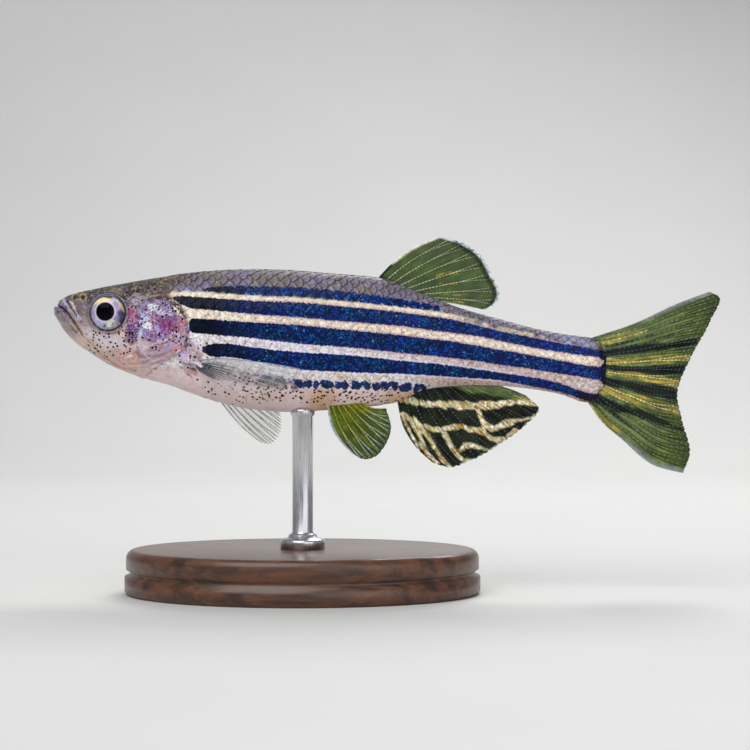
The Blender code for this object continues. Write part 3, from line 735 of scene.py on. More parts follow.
    def depth(self):
        """How far inside a dark stripe or dash each point is, in millimetres."""
        points, right, down = self.points, self.right, self.down
        depth = np.max([stripe_depth(right, down, stripe) for stripe in STRIPES], axis=0)
        # Behind STEM_END all counts as inside a stripe: dark scales, with painted shade at the body's end.
        depth = np.maximum(depth, (right - STEM_END) / PIXELS_PER_MM)
        depth -= 0.3 * noise(points, 0.35, 19) * step(218, 196, right) * step(330, 350, down)
        block = (right - 222) / 12.4 + (noise(points, 0.7, 18) - 0.5) * 0.25
        gaps = step(0.62, 0.98, np.abs(block % 1 - 0.5) * 2) * step(210, 240, right)
        upper = stripe_depth(right, down, UPPER_DASHES) - 0.13 * gaps
        tooth = (right - 256) / 9.6 + (noise(points, 0.9, 15) - 0.5) * 0.9
        deep = hashed(np.stack([np.floor(tooth), 0 * tooth, 0 * tooth], -1).astype(np.int64), 77)
        reach = (down - stripe_middle(right, 3)) / PIXELS_PER_MM + 0.35
        beside = np.abs(tooth % 1 - 0.5) * 2
        lower = stripe_depth(right, down, LOWER_DASHES) + (noise(points, 0.2, 14) - 0.5) * 0.25
        lower -= np.clip(reach, 0, 1) * (0.75 * beside**2 + 0.35 * deep) + 0.28 * step(0.84, 0.98, beside)
        return np.max([depth, upper, lower], axis=0)

    def ink(self, depth, below):
        """Colour of the dark stripes, where below is 1 on the lowest dashes."""
        right, mottle = self.right, self.mottle
        ink = tint(rgb(4, 6, 14), rgb(5, 20, 58), step(190, 270, right))
        ink = tint(ink, rgb(14, 22, 74), step(430, 560, right))
        ink = tint(ink, rgb(44, 34, 100), step(0.12, 0.0, depth) * 0.5 * step(200, 300, right))
        ink = tint(ink, tint(rgb(18, 26, 56), rgb(52, 60, 96), mottle), below * 0.75)
        # Near-black at the body's end: dark scales, with painted shade where the body meets the tail fin.
        ink = tint(ink, rgb(8, 10, 20), step(598, 602, right + (mottle - 0.5) * 4) * 0.9)
        ink = tint(ink, rgb(26, 24, 28), self.under_end * 0.85)
        violet = step(214, 199, right) * step(338, 346, self.down) * step(0.4, 0.7, mottle)
        ink = tint(ink, rgb(70, 56, 100), violet * 0.75)
        return ink * (1 - 0.6 * self.rim)[..., None]

    def pepper(self, depth):
        """How many dark dots there are."""
        right, down = self.right, self.down
        top = np.interp(right, (185, 215, 240, 290, 330, 440), (358, 366, 374, 382, 386, 389))
        spots = step(-2, 2, down - top) * step(408, 394, down) * between(right, 185, 215, 410, 440)
        spots *= 0.25 + 0.7 * step(225, 255, right)
        shoulder = box(right, down, (178, 186, 206, 216), (336, 345, 372, 382))
        return np.maximum(spots, 0.45 * shoulder) * step(0.05, -0.1, depth)

    def values(self):
        """Colours, stripe depth, glitter, gleam, dots, pearl, and how lilac the stripes' outlines are."""
        right, rim = self.right, self.rim
        cloudy, depth = self.cloudy(), self.depth()
        below = step(376, 379, self.down) * between(right, 270, 290, 425, 440)
        spark = (0.12 + 0.88 * step(205, 290, right)) * (1 - 0.5 * rim) * (1 - 0.85 * step(597, 602, right))
        pearl = 0.28 * step(2, -2, self.below_yellow) * (1 - rim) * step(175, 200, right)
        lilac = step(326, 334, self.down - 0.13 * (right - 200)) * step(560, 480, right)
        return {
            "paint": self.paint(cloudy),
            "ink": self.ink(depth, below),
            "dark": depth,
            "spark": spark * (1 - 0.25 * below) * (1 - 0.9 * self.under_end),
            "gleam": (0.75 * self.flank + 0.12) * (1 - 0.85 * cloudy),
            "pepper": self.pepper(depth),
            "pearl": pearl * (1 - self.tail_end),
            "lilac": mix(lilac, -1.0, step(1.5, 0.5, self.below_yellow)),
        }


# A fade in that is over before its line starts.
WHOLE = (-1, -0.5)
# Folds of the head's skin: line, height, half width, and where along the line the fold fades in and out.
HEAD_FOLDS = (
    (((0.75, 19.62), (1.15, 19.15), (1.6, 18.4), (2.1, 17.6)), -0.06, 0.05, (0, 0.1), (1, 0.9)),
    (
        ((1.9, 17.4), (2.45, 16.8), (2.9, 16.3), (3.7, 15.95), (4.6, 15.4), (5.4, 14.8)),
        -0.05, 0.07, WHOLE, (1, 0.8),
    ),
    (
        (
            (6.3, 20.15), (5.95, 19.4), (5.8, 18.5), (5.8, 17.5), (6.05, 16.7), (7.2, 16.75), (8.4, 17.15),
            (8.9, 17.5),
        ),
        -0.05, 0.06, (0, 0.1), (1, 0.93),
    ),
    (((4.9, 19.3), (5.1, 18.4), (5.0, 17.4), (4.4, 16.7), (3.5, 16.35)), 0.035, 0.16, (0, 0.15), (1, 0.85)),
    (((8.85, 15.7), (9.6, 15.55), (10.1, 15.15), (10.6, 14.6), (10.95, 14.15)), 0.16, 0.16, WHOLE, (1, 0.8)),
    (((0.1, 18.95), (0.35, 18.95), (0.75, 18.8)), 0.1, 0.22, WHOLE, (3, 2)),
    (((0.45, 19.65), (0.95, 19.2), (1.45, 18.6)), 0.1, 0.22, WHOLE, (3, 2)),
)
# Strips of skin below the gill cover.
GILL_STRIPS = (
    ((6.0, 16.1), (7.2, 16.2), (8.3, 16.7), (8.9, 17.2)),
    ((6.2, 15.6), (7.2, 15.8), (8.1, 16.3), (8.7, 16.8)),
    ((6.5, 15.25), (7.3, 15.5), (8.0, 15.95)),
)
# The fleshy root of the pectoral fin.
FIN_ROOT = ((8.3, 16.25), (8.65, 16.0), (8.85, 15.75))
# Nostrils of one side: distance back, height, radius and depth.
NOSTRILS = ((1.28, 19.86, 0.10, 0.13), (1.56, 19.98, 0.15, 0.2))


def bell(away, middle, width):
    """1 at this distance, falling off evenly on both sides."""
    return np.exp(-(((away - middle) / width) ** 2))


def from_eye(points):
    """Distance from the middle of the eye, seen from the side."""
    return np.hypot(points[..., 0] - EYE_AT[0], points[..., 2] - EYE_AT[1])


def head_relief(points):
    """How far the skin stands out from the plain section shape, in millimetres."""
    flat = side_view(points)
    around = from_eye(points)
    lift = 0.10 * bell(around, EYE_RADIUS + 0.1, 0.1)
    lift -= 0.75 * step(EYE_RADIUS, EYE_RADIUS - 0.16, around)

    for back, height, radius, depth in NOSTRILS:
        away = np.hypot(flat[..., 0] - back, flat[..., 1] - height)
        lift += 0.05 * bell(away, radius + 0.05, 0.05)
        lift -= depth * step(radius, radius * 0.4, away)

    away, _, along = line_distance(flat, MOUTH_LINE)
    lift += (0.11 * bell(away, 0.2, 0.12) - 0.22 * bell(away, 0, 0.055)) * step(1.0, 0.86, along)

    away, turn, along = line_distance(flat, GILL_LINE)
    fade = step(0.14, 0.27, along) * step(1.0, 0.86, along)
    edge = np.where(turn < 0, 0.15 * bell(away, 0, 0.7), -0.10 * bell(away, 0, 0.22))
    lift += fade * (edge - 0.10 * bell(away, 0, 0.05))

    for strip in GILL_STRIPS:
        away, _, along = line_distance(flat, strip)
        lift += (0.05 * bell(away, 0, 0.1) - 0.03 * bell(away, 0.22, 0.06)) * step(0, 0.2, along)
    for line, height, width, fade_in, fade_out in HEAD_FOLDS:
        away, _, along = line_distance(flat, line)
        lift += height * bell(away, 0, width) * step(*fade_in, along) * step(*fade_out, along)
    lift += 0.17 * step(0.5, 0.1, line_distance(flat, FIN_ROOT)[0])
    outward = step(0.15, 0.5, np.abs(points[..., 1]))
    return lift * np.where(flat[..., 0] < 1.0, 1.0, outward)


# Soft marks on the head in the camera's frame: place, half sizes across and down, lean, colour and strength.
HEAD_MARKS = (
    (74, 306, 17, 15, -15, (104, 92, 100), 0.85),
    (86, 318, 8, 15, -20, (128, 114, 124), 0.7),
    (104, 340, 24, 10, 14, (212, 202, 212), 0.85),
    (124, 356, 15, 8, 18, (210, 162, 154), 0.75),
    (131, 354, 7, 5, 10, (200, 140, 158), 0.5),
    (98, 350, 22, 6, 35, (206, 182, 168), 0.8),
    (70, 325, 9, 13, -38, (146, 136, 136), 0.8),
    (62, 316, 5, 7, -30, (120, 110, 122), 0.6),
    (118, 292, 6, 3, 10, (150, 128, 90), 0.4),
    (127.5, 295, 3.5, 3, 0, (42, 40, 48), 0.85),
    (139, 300, 9, 6, 10, (150, 136, 152), 0.7),
    (133, 323, 7.5, 19, -4, (110, 48, 102), 0.95),
    (131, 313, 4.5, 8, 0, (166, 80, 112), 0.8),
    (133, 331, 8, 8, 10, (98, 54, 122), 0.8),
    (128, 340, 6, 4, 20, (120, 72, 96), 0.6),
    (163, 321, 21, 20, 0, (114, 56, 118), 0.95),
    (160, 306, 15, 6, 14, (146, 124, 162), 0.85),
    (170, 329, 13, 9, -15, (140, 52, 92), 0.8),
    (154, 317, 7, 8, 0, (138, 60, 106), 0.75),
    (158, 334, 14, 6, -10, (122, 66, 146), 0.75),
    (151, 300.5, 5, 2, 10, (66, 58, 64), 0.8),
    (170, 303, 8, 6, 20, (84, 70, 64), 0.9),
    (145, 322, 5, 17, 4, (140, 132, 186), 0.8),
    (152.5, 307.5, 6, 3.4, 15, (230, 234, 216), 0.95),
    (160, 311, 5, 2.2, 20, (202, 218, 236), 0.9),
    (147, 326, 5.5, 3.4, 10, (246, 250, 255), 0.98),
    (143.5, 317, 3, 5, -10, (186, 204, 236), 0.85),
    (141, 333, 2, 5, 12, (204, 224, 246), 0.85),
    (158, 329, 2.2, 4.5, 15, (196, 190, 232), 0.6),
    (165, 314, 9, 1.6, 6, (202, 208, 240), 0.85),
    (183.5, 321, 2.8, 6, -25, (204, 122, 88), 0.85),
    (188, 327, 2.6, 8, 0, (134, 54, 116), 0.85),
    (164, 351, 22, 9, -24, (168, 134, 158), 0.85),
    (152, 350, 5, 2.2, -10, (158, 148, 162), 0.8),
    (141, 353, 5, 7, -40, (150, 96, 104), 0.7),
    (143, 351, 3, 5, -30, (212, 198, 226), 0.7),
    (129.5, 356, 3.6, 1.8, -10, (238, 234, 240), 0.9),
    (177, 350, 6, 3.5, -30, (184, 128, 128), 0.6),
    (195, 368, 17, 15, 0, (204, 188, 194), 0.9),
    (187, 343, 2.8, 10, 5, (84, 54, 74), 0.85),
    (195, 340, 5.5, 10, 0, (186, 160, 204), 0.9),
    (199, 356.5, 9, 3.4, 4, (150, 118, 138), 0.75),
    (167, 363, 9, 4.5, -5, (176, 172, 204), 0.85),
    (177, 365, 4, 3.6, 0, (146, 146, 210), 0.8),
    (196, 375, 10, 5.5, 14, (208, 150, 150), 0.7),
    (181.5, 356, 6, 5, 0, (212, 184, 226), 0.95),
    (194, 369.5, 5.5, 1.6, 20, (44, 38, 42), 0.8),
    (110, 372, 40, 5, 25, (194, 174, 160), 0.6),
    (160, 374, 22, 6, 12, (208, 186, 180), 0.75),
)
# Thin marks: the line in the frame, its half widths along it, colour and strength.
HEAD_LINES = (
    (((57, 313), (57.5, 308), (60, 305), (64, 305)), (2.0, 2.8, 2.0), (122, 116, 148), 0.9),
    (((58, 312), (63, 311), (69, 314)), (0.5, 1.0, 0.5), (76, 66, 90), 0.85),
    (((63, 299), (67, 305), (72, 311), (79, 320)), (1.2, 1.8, 0.9), (168, 166, 190), 0.95),
    (((67, 301), (71, 308), (77, 317)), (0.7, 1.0, 0.6), (50, 44, 52), 0.9),
    (((70, 301), (75, 309), (80.5, 319)), (0.5, 1.0, 0.5), (184, 172, 194), 0.85),
    (((73, 303), (74.5, 308)), (1.1, 1.4), (222, 186, 126), 0.9),
    (((70, 324), (73, 327)), (1.0, 1.4), (190, 164, 96), 0.85),
    (((77, 328), (79, 331)), (1.0, 1.2), (170, 146, 84), 0.8),
    (((68, 322), (74, 330), (78, 333)), (0.5, 1.1, 0.5), (70, 66, 72), 0.7),
    (((81, 334), (90, 343), (104, 357), (120, 367), (136, 371)), (0.6, 0.8, 0.6), (184, 124, 84), 0.7),
    (
        ((136, 345), (146, 345.5), (156, 343.5), (165, 340), (172, 337)),
        (0.8, 1.2, 0.8), (208, 198, 226), 0.85,
    ),
    (((147, 351), (155, 350), (163, 345)), (0.8, 1.8, 0.8), (162, 152, 166), 0.85),
    (((150, 347.8), (165, 343), (176, 337)), (0.6, 1.0, 0.5), (176, 104, 112), 0.7),
    (((165, 350), (171, 346.5), (177, 342.5), (185, 335.5)), (0.7, 1.3, 1.6, 1.0), (150, 138, 204), 0.85),
    (((163, 354), (172, 350), (180, 345), (186, 339)), (0.8, 1.3, 0.8), (196, 132, 124), 0.6),
    (
        ((141.7, 364.4), (150, 360), (158, 356), (165, 352), (171.5, 346.7)),
        (1.0, 1.8, 1.8, 0.9), (150, 150, 184), 0.9,
    ),
    (((150, 364), (160, 360.5), (168, 357), (176, 352)), (0.8, 1.4, 0.8), (182, 148, 152), 0.8),
    (((118, 364), (134, 364), (150, 361), (164, 355)), (0.6, 0.9, 0.6), (204, 134, 104), 0.7),
    (((128, 368), (146, 367), (162, 362)), (0.6, 1.0, 0.6), (168, 156, 168), 0.7),
    (((174, 308.5), (178.5, 312), (183, 317)), (1.2, 1.7, 0.8), (250, 228, 176), 0.95),
    (((177, 307.5), (183, 309.5), (188, 312)), (0.8, 1.4, 2.2), (240, 216, 180), 0.9),
    (((184, 310), (187.5, 316)), (1.1, 0.8), (224, 196, 206), 0.8),
    (((149, 303), (160, 303), (170, 307), (180, 315)), (0.5, 0.8, 0.5), (96, 92, 122), 0.8),
    (((147, 296.5), (158, 295.5), (167, 293.5)), (0.6, 0.9, 0.5), (176, 142, 82), 0.85),
    (((149, 298.8), (158, 297.8), (168, 298)), (0.6, 1.1, 0.7), (40, 35, 38), 0.8),
    (((168, 295.5), (172, 301), (177, 306)), (0.5, 0.8, 0.5), (176, 146, 88), 0.8),
    (((164.5, 292.5), (169, 292.5)), (0.9, 1.2), (226, 204, 96), 0.9),
    (((171.5, 294), (177, 294)), (2.0, 2.4), (250, 246, 244), 0.95),
    (
        ((188, 361), (198, 364), (205, 369), (211, 376), (217, 383)),
        (0.8, 1.5, 1.6, 0.8), (236, 218, 234), 0.92,
    ),
    (((100, 330.5), (108, 334), (116, 333), (123, 329)), (0.5, 0.9, 0.5), (150, 108, 84), 0.7),
)


# Pearly parts of the head in the camera's frame: place, half sizes and strength.
PEARLY = ((163, 322, 26, 24, 1.0), (133, 320, 9, 24, 0.6), (190, 350, 14, 18, 0.5))
# Nostrils and the ring of pale beads on the gill cover, as the camera sees them.
NOSTRILS_SEEN = ((75.5, 297), (83, 297.5))
BEADS_SEEN = (174.4, 336.7)
# Where the nape's skin ends: distance back, and the height above which it lies.
NAPE_END = 7.9
NAPE_HEIGHT = 20.9


class HeadMarks:
    """Painted values of the head."""

    def __init__(self, points):
        self.points = points
        self.right, self.down = seen_at(points)
        self.flat = side_view(points)
        pearly = []
        for across, along, wide, tall, strength in PEARLY:
            away = np.hypot((self.right - across) / wide, (self.down - along) / tall)
            pearly.append(strength * step(1.2, 0.7, away))
        self.pearly = np.max(pearly, axis=0)

    def flecks(self, size, seed, low, high):
        """0 to 1 in random flecks of this size."""
        return step(low, high, noise(self.points, size, seed))

    def ground(self):
        """Colours below all marks: dark with gold flecks above, rosy below."""
        mottle = noise(self.points, 0.3, 21)
        crown = np.interp(self.right, (55, 75, 110, 150, 175), (292, 296, 300, 296, 291))
        top = tint(rgb(30, 26, 27), rgb(88, 79, 77), mottle)
        top = tint(top, rgb(128, 118, 144), self.flecks(0.18, 37, 0.6, 0.8) * 0.4)
        gold = self.flecks(0.12, 22, 0.55, 0.8) * self.flecks(0.9, 23, 0.35, 0.65)
        top = tint(top, rgb(180, 152, 92), gold * 0.65)
        lower = tint(rgb(206, 180, 172), rgb(230, 208, 200), noise(self.points, 0.8, 24))
        return tint(top, lower, step(4, 26, self.down - crown + (mottle - 0.5) * 8))

    def soft_marks(self, paint):
        """Adds the soft marks, with ragged edges."""
        for across, along, wide, tall, lean, colour, strength in HEAD_MARKS:
            right, down = self.right - across, self.down - along
            turn = math.radians(lean)
            x = (right * math.cos(turn) + down * math.sin(turn)) / wide
            y = (down * math.cos(turn) - right * math.sin(turn)) / tall
            ragged = noise(self.points, 0.28, int(across * 7 + along)) - 0.75
            ragged += 0.5 * noise(self.points, 0.1, int(across + along))
            soft = 0.25 + 0.3 * step(7, 13, min(wide, tall) + wide / 4)
            away = np.hypot(x, y) + ragged * (0.3 / soft - 0.05)
            paint = tint(paint, rgb(*colour), step(0.95 + soft, 0.95 - soft, away) * strength)
        return paint

    def fine_flecks(self, paint):
        """Adds violet flecks, the ring of beads and the dark flecks of the snout."""
        paint = tint(paint, rgb(80, 40, 92), self.flecks(0.16, 36, 0.6, 0.8) * self.pearly * 0.5)
        paint = tint(paint, rgb(118, 104, 204), self.flecks(0.14, 39, 0.6, 0.78) * self.pearly * 0.45)
        right, down = self.right - BEADS_SEEN[0], self.down - BEADS_SEEN[1]
        ring = step(1.3, 0.5, np.abs(np.hypot(right, down) - 4)) * (down < 2.5)
        beads = step(0.0, 0.6, np.cos(9 * np.arctan2(down, right)))
        paint = tint(paint, rgb(222, 230, 246), ring * beads)
        snout = step(1.2, 0.6, np.hypot((self.right - 78) / 14, (self.down - 310) / 18))
        return paint * (1 - 0.45 * snout * self.flecks(0.15, 34, 0.6, 0.75))[..., None]

    def thin_marks(self, paint):
        """Adds thin marks, nostril rings, and painted shade in the nostrils' pits and the mouth's line."""
        place = np.stack([self.right, self.down], -1)
        wobble = (noise(self.points, 0.2, 35) - 0.5) * 1.8 + (noise(self.points, 0.5, 38) - 0.5) * 1.0
        for line, widths, colour, strength in HEAD_LINES:
            paint = tint(paint, rgb(*colour), on_line(place, line, widths, wobble) * strength)
        # Each nostril: a gold ring, and painted shade darkening the pit inside it.
        for across, along in NOSTRILS_SEEN:
            away = np.hypot(self.right - across, self.down - along)
            paint = tint(paint, rgb(176, 156, 104), step(1.5, 0.3, np.abs(away - 3.4)) * 0.6)
            paint = tint(paint, rgb(34, 30, 32), step(2.6, 1.4, away) * 0.9)
        # Painted shade along the gap between the lips.
        mouth = step(0.085, 0.0, line_distance(self.flat, MOUTH_LINE)[0]) * (self.flat[..., 0] < 1.9)
        return tint(paint, rgb(48, 36, 44), mouth * 0.85)

    def eye_rim(self, paint):
        """Adds the rim round the eye, and painted shade in the socket behind the eyeball."""
        around = from_eye(self.points)
        above = step(-0.2, 0.8, (self.points[..., 2] - EYE_AT[1]) / np.maximum(around, 0.1))
        rim = tint(rgb(132, 116, 110), rgb(140, 138, 178), above)
        paint = tint(paint, rim, step(0.1, 0.03, np.abs(around - EYE_RADIUS - 0.02)) * 0.85)
        paint = tint(paint, rgb(48, 42, 44), step(0.06, 0.0, np.abs(around - EYE_RADIUS - 0.12)) * 0.6)
        # Painted shade: the sunk skin of the socket behind the eyeball is made dark.
        return tint(paint, rgb(40, 36, 40), step(EYE_RADIUS - 0.02, EYE_RADIUS - 0.08, around))

    def paint(self):
        """Colours of the whole head."""
        return self.eye_rim(self.thin_marks(self.fine_flecks(self.soft_marks(self.ground()))))

    def pepper(self):
        """How many dark dots there are."""
        right, down = self.right, self.down
        cheek = box(right, down, (82, 88, 132, 142), (324, 332, 350, 360))
        cover = box(right, down, (126, 132, 186, 194), (298, 306, 340, 348))
        lower_cover = step(140, 150, right) * between(down, 340, 346, 366, 374)
        root = box(right, down, (176, 182, 204, 212), (332, 338, 366, 374))
        root *= 1 - within(right, down, 184, 355, 7, 7, 0.2)
        return np.max([0.75 * cheek, 0.26 * cover, 0.22 * lower_cover, 0.75 * root], axis=0)

    def pearl(self):
        """How pearly the skin shows."""
        return self.pearly * (1 - 0.65 * within(self.right, self.down, 171, 327, 10, 9, 0.4))

    def share(self):
        """1 where these marks take over from those of the body."""
        back, height = self.flat[..., 0], self.flat[..., 1]
        away, turn, along = line_distance(self.flat, GILL_LINE)
        behind = np.where((turn > 0) & (along > 0.02), away, -away)
        behind = np.where(height > 20.6, back - NAPE_END + 0.5 * step(21.4, 20.6, height), behind)
        share = step(0.25, -0.1, behind + (noise(self.points, 0.5, 25) - 0.5) * 0.3)
        share = np.maximum(share, on_nape(self.right, self.down))
        return np.maximum(share, within(self.right, self.down, *SHOULDER, 0.3))


def skin_marks(points):
    """Painted values of the skin, which change from the head's to the body's."""
    marks = BodyMarks(points, np.zeros(points.shape[:-1])).values()
    head = HeadMarks(points)
    share, pearl = head.share(), head.pearl()
    marks["paint"] = tint(marks["paint"], head.paint(), share)
    on_head = {
        "dark": -1.0,
        "pepper": head.pepper(),
        "gleam": 0.3 + 0.3 * pearl,
        "pearl": pearl,
        "spark": 0.0,
    }
    for key, value in on_head.items():
        marks[key] = mix(marks[key], value, share)
    return marks


# Heights of the mouth's front and how far back the lips stand there.
LIP_HEIGHTS = (19.4, 19.5, 19.75, 20.1, 20.4, 20.5)
LIP_BACKS = (0, 0.33, 0.42, 0.68, 1.05, 0)
# Rings that close the body at the tail fin: shares of the last ring's width and height, and how far back.
END_RINGS = ((0.9, 0.995, 0.1), (0.72, 0.98, 0.22), (0.48, 0.95, 0.34), (0.2, 0.9, 0.42))


def make_skin(finish):
    """One closed skin over head, body and tail stem."""
    body = Body(0.05, 0.2, 200)
    half = body.points + body.normals * head_relief(body.points)[..., None]
    half[..., 0] = np.maximum(half[..., 0], np.interp(half[..., 2], LIP_HEIGHTS, LIP_BACKS))
    half[:, (0, -1), 1] = 0
    rings = np.concatenate([half, half[:, -2:0:-1] * (1, -1, 1)], axis=1)
    middle = rings[-1][:, 2].mean()
    ends = [rings[-1] * (1, wide, tall) + (push, 0, middle * (1 - tall)) for wide, tall, push in END_RINGS]
    rings = np.concatenate([rings, ends], axis=0)
    rows, columns = rings.shape[:2]
    tips = (rings[0].mean(axis=0), rings[-1].mean(axis=0) + (0.05, 0, 0))
    flat = np.vstack([rings.reshape(-1, 3), *tips])
    first = np.arange(columns)
    front = fan(first, rows * columns)
    rear = fan(first + (rows - 1) * columns, rows * columns + 1)[:, (1, 0, 2)]
    faces = [grid_faces(rows, columns, closed=True), front, rear]
    piece = add_mesh("skin", flat, faces, finish, skin_marks(flat))
    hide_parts("head", "lower_jaw", "gill_cover_left", "gill_cover_right", "trunk", "tail_stem")


# Scales in millimetres: size, spacing along a row, spacing of the rows, and how far a scale stands out.
SCALE_LENGTH = 1.28
SCALE_WIDTH = 1.06
SCALE_SPACING = 0.84
ROW_SPACING = 0.47
SCALE_LIFT = 0.045
SCALE_ROWS = 30
# Powers by which lengths and widths of the scales follow the body's girth.
LENGTH_POWER = 0.35
WIDTH_POWER = 0.6
# Distance back of the last scale's root and of the end of the body.
LAST_SCALE = 36.7
BODY_END = 36.9
# Size of a scale's own patch on the bake map, and the shares of its length where its points lie.
SCALE_PATCH = 0.003
SCALE_STEPS = (0.0, 0.22, 0.42, 0.58, 0.72, 0.84, 0.93, 0.985, 1.0)


def scale_template():
    """One scale: places across and along, their lift and nearness to the rim, and faces.

    Places across are -1 to 1 and those along 0 to 1. Lift is in shares of SCALE_LIFT.
    """
    lean = np.radians(np.linspace(-82, 82, 9))
    t, a = np.meshgrid(SCALE_STEPS, np.sin(lean), indexing="ij")
    b = t * (0.42 + 0.58 * np.cos(lean))
    lift = np.interp(t, (0, 0.2, 0.42, 0.95, 1), (-1.3, -0.4, 0.1, 1.0, 0.72))
    lift += 0.35 * (1 - a * a) * step(0.2, 0.7, t)
    rim = np.interp(t, (0.8, 0.93, 1.0), (0, 0.6, 1.0))
    edge = grid_edge(*t.shape)
    below = t.size + np.arange(len(edge))
    walls = np.stack([edge, np.roll(edge, -1), np.roll(below, -1), below], -1)
    a = np.append(a, a.ravel()[edge])
    b = np.append(b, b.ravel()[edge])
    lift = np.append(lift, np.full(len(edge), -1.9))
    rim = np.append(rim, np.ones(len(edge)))
    return a, b, lift, rim, [grid_faces(*t.shape)[:, ::-1], walls, below[None, ::-1]]


def scale_roots(body):
    """Row, distance back and arc from the back of each scale of the left side."""
    back = np.linspace(0, 37, 400)
    girth = body.girth_at(back)
    size = girth / girth.max()
    spacing = SCALE_SPACING * size**LENGTH_POWER
    column = np.concatenate([[0], np.cumsum(np.diff(back) / spacing[1:])])
    roots = []
    for row in range(SCALE_ROWS):
        for place in np.interp(np.arange(0, column[-1], 1.0) + 0.5 * (row % 2), column, back):
            wide = ROW_SPACING * np.interp(place, back, size) ** WIDTH_POWER
            if row * wide <= np.interp(place, back, girth) + 0.1 * wide and place <= LAST_SCALE:
                roots.append((row, place, row * wide))
    return np.array(roots)


def behind_head(roots, body):
    """Which scales lie behind the gill cover and the nape, and off the bare skin of the shoulder."""
    middle = roots[:, 1] + 0.5
    centre, _ = body.at(body.ring_at(middle), roots[:, 2] / body.girth_at(middle))
    back, height = centre[:, 0], centre[:, 2]
    away, turn, _ = line_distance(centre[:, (0, 2)], GILL_LINE)
    clear = (turn > 0) & (away > 0.2) & (back > 6.0) & (on_shoulder(*seen_at(centre)) < 0.5)
    return np.where(height > NAPE_HEIGHT, back > NAPE_END, clear)


def scale_points(roots, a, b, lift, body, random):
    """Points of all scales as on the left side, each scale a little unlike the others."""
    row, root, arc = roots[:, :1], roots[:, 1:2], roots[:, 2:]
    size = body.size_at(root)
    wide = SCALE_WIDTH * size**WIDTH_POWER / 2 * random.uniform(0.95, 1.05, root.shape)
    long = SCALE_LENGTH * size**LENGTH_POWER * random.uniform(0.96, 1.04, root.shape)
    lean = random.uniform(-0.05, 0.05, root.shape)
    across = a * wide + b * long * lean
    back = root + b * long - a * wide * lean
    on_body = np.clip(back, 0, BODY_END)
    shift = ROW_SPACING * row * body.size_at(on_body) ** WIDTH_POWER
    share = (shift + across) / body.girth_at(on_body)
    points, out = body.at(body.ring_at(back), np.clip(share, -0.99, 1.99))
    belly = step(0.8, 1.0, arc / body.girth_at(root))
    tall = SCALE_LIFT * (1 - 0.5 * belly) * size**0.3 * random.uniform(0.85, 1.15, root.shape)
    return points + out * (lift * tall)[..., None]


def add_bake_map(piece, corners):
    """Gives a piece its bake map, from a place on the map for each of its points."""
    layer = piece.data.uv_layers.new(name="OFBake")
    used = np.zeros(len(piece.data.loops), np.int32)
    piece.data.loops.foreach_get("vertex_index", used)
    layer.data.foreach_set("uv", corners[used].astype(np.float32).ravel())


def make_scales(name, turn, finish, body):
    """The overlapping scales of one side. turn is 1 for the left side and -1 for the right."""
    roots = scale_roots(body)
    if turn < 0:
        roots = roots[roots[:, 0] > 0]
    roots = roots[behind_head(roots, body)]
    a, b, lift, rim, faces = scale_template()
    points = scale_points(roots, a, b, lift, body, np.random.default_rng(40 + turn))
    flat = (points * (1, turn, 1)).reshape(-1, 3)
    offsets = (np.arange(len(roots)) * len(a))[:, None, None]
    faces = [(group + offsets).reshape(-1, group.shape[1])[:, ::turn] for group in faces]
    marks = BodyMarks(flat, np.tile(rim, len(roots))).values()
    piece = add_mesh(name, flat, faces, finish, marks)
    place = np.stack([roots[:, 1] / TOTAL_LENGTH, 0.5 - turn * roots[:, 2] / TOTAL_LENGTH], -1)
    patch = np.stack([b - 0.5, a / 2], -1) * SCALE_PATCH
    add_bake_map(piece, (place[:, None] + patch).reshape(-1, 2))


def make_eye(name, turn, finish):
    """An eyeball with its iris slightly sunk round the pupil, bulging out of the head."""
    rows, columns = 64, 160
    lean = np.linspace(0, 0.72, rows)[:, None] * np.pi
    around = np.linspace(0, 2 * np.pi, columns, endpoint=False)[None, :]
    radius = EYE_RADIUS * np.sin(lean)
    across = EYE_AT[0] + radius * np.cos(around)
    height = EYE_AT[1] + radius * np.sin(around)
    depth = EYE_DEPTH * np.cos(lean) + 0 * around
    pupil_back, pupil_height = eye_place(*PUPIL_SEEN)
    pupil = np.hypot(across - pupil_back, height - pupil_height)
    sunk = 0.05 * step(PUPIL_RADIUS - 0.02, PUPIL_RADIUS + 0.1, pupil) * step(1.2, 1.0, radius)
    depth = np.where(lean < np.pi / 2, depth - sunk, depth)
    middle = side(*EYE_AT) + EYE_BULGE - EYE_DEPTH
    points = np.stack([across, -turn * (middle + depth), height], -1)
    paint, shine = eye_marks(across.ravel(), height.ravel())
    inner = points[-1].mean(axis=0)
    rear = fan(np.arange(columns) + (rows - 1) * columns, rows * columns)
    faces = [group[:, ::turn] for group in (grid_faces(rows, columns, closed=True), rear)]
    values = {"paint": np.vstack([paint, paint[-1]]), "shine": np.append(shine, 0)}
    piece = add_mesh(name + "_detail", np.vstack([points.reshape(-1, 3), inner]), faces, finish, values)
    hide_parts(name)


EYE_SCALE = PIXELS_PER_MM * 1.015


def eye_place(right, down):
    """Distance back and height on the eye of a place in the camera's frame."""
    return EYE_AT[0] + (right - EYE_SEEN[0]) / EYE_SCALE, EYE_AT[1] - (down - EYE_SEEN[1]) / EYE_SCALE


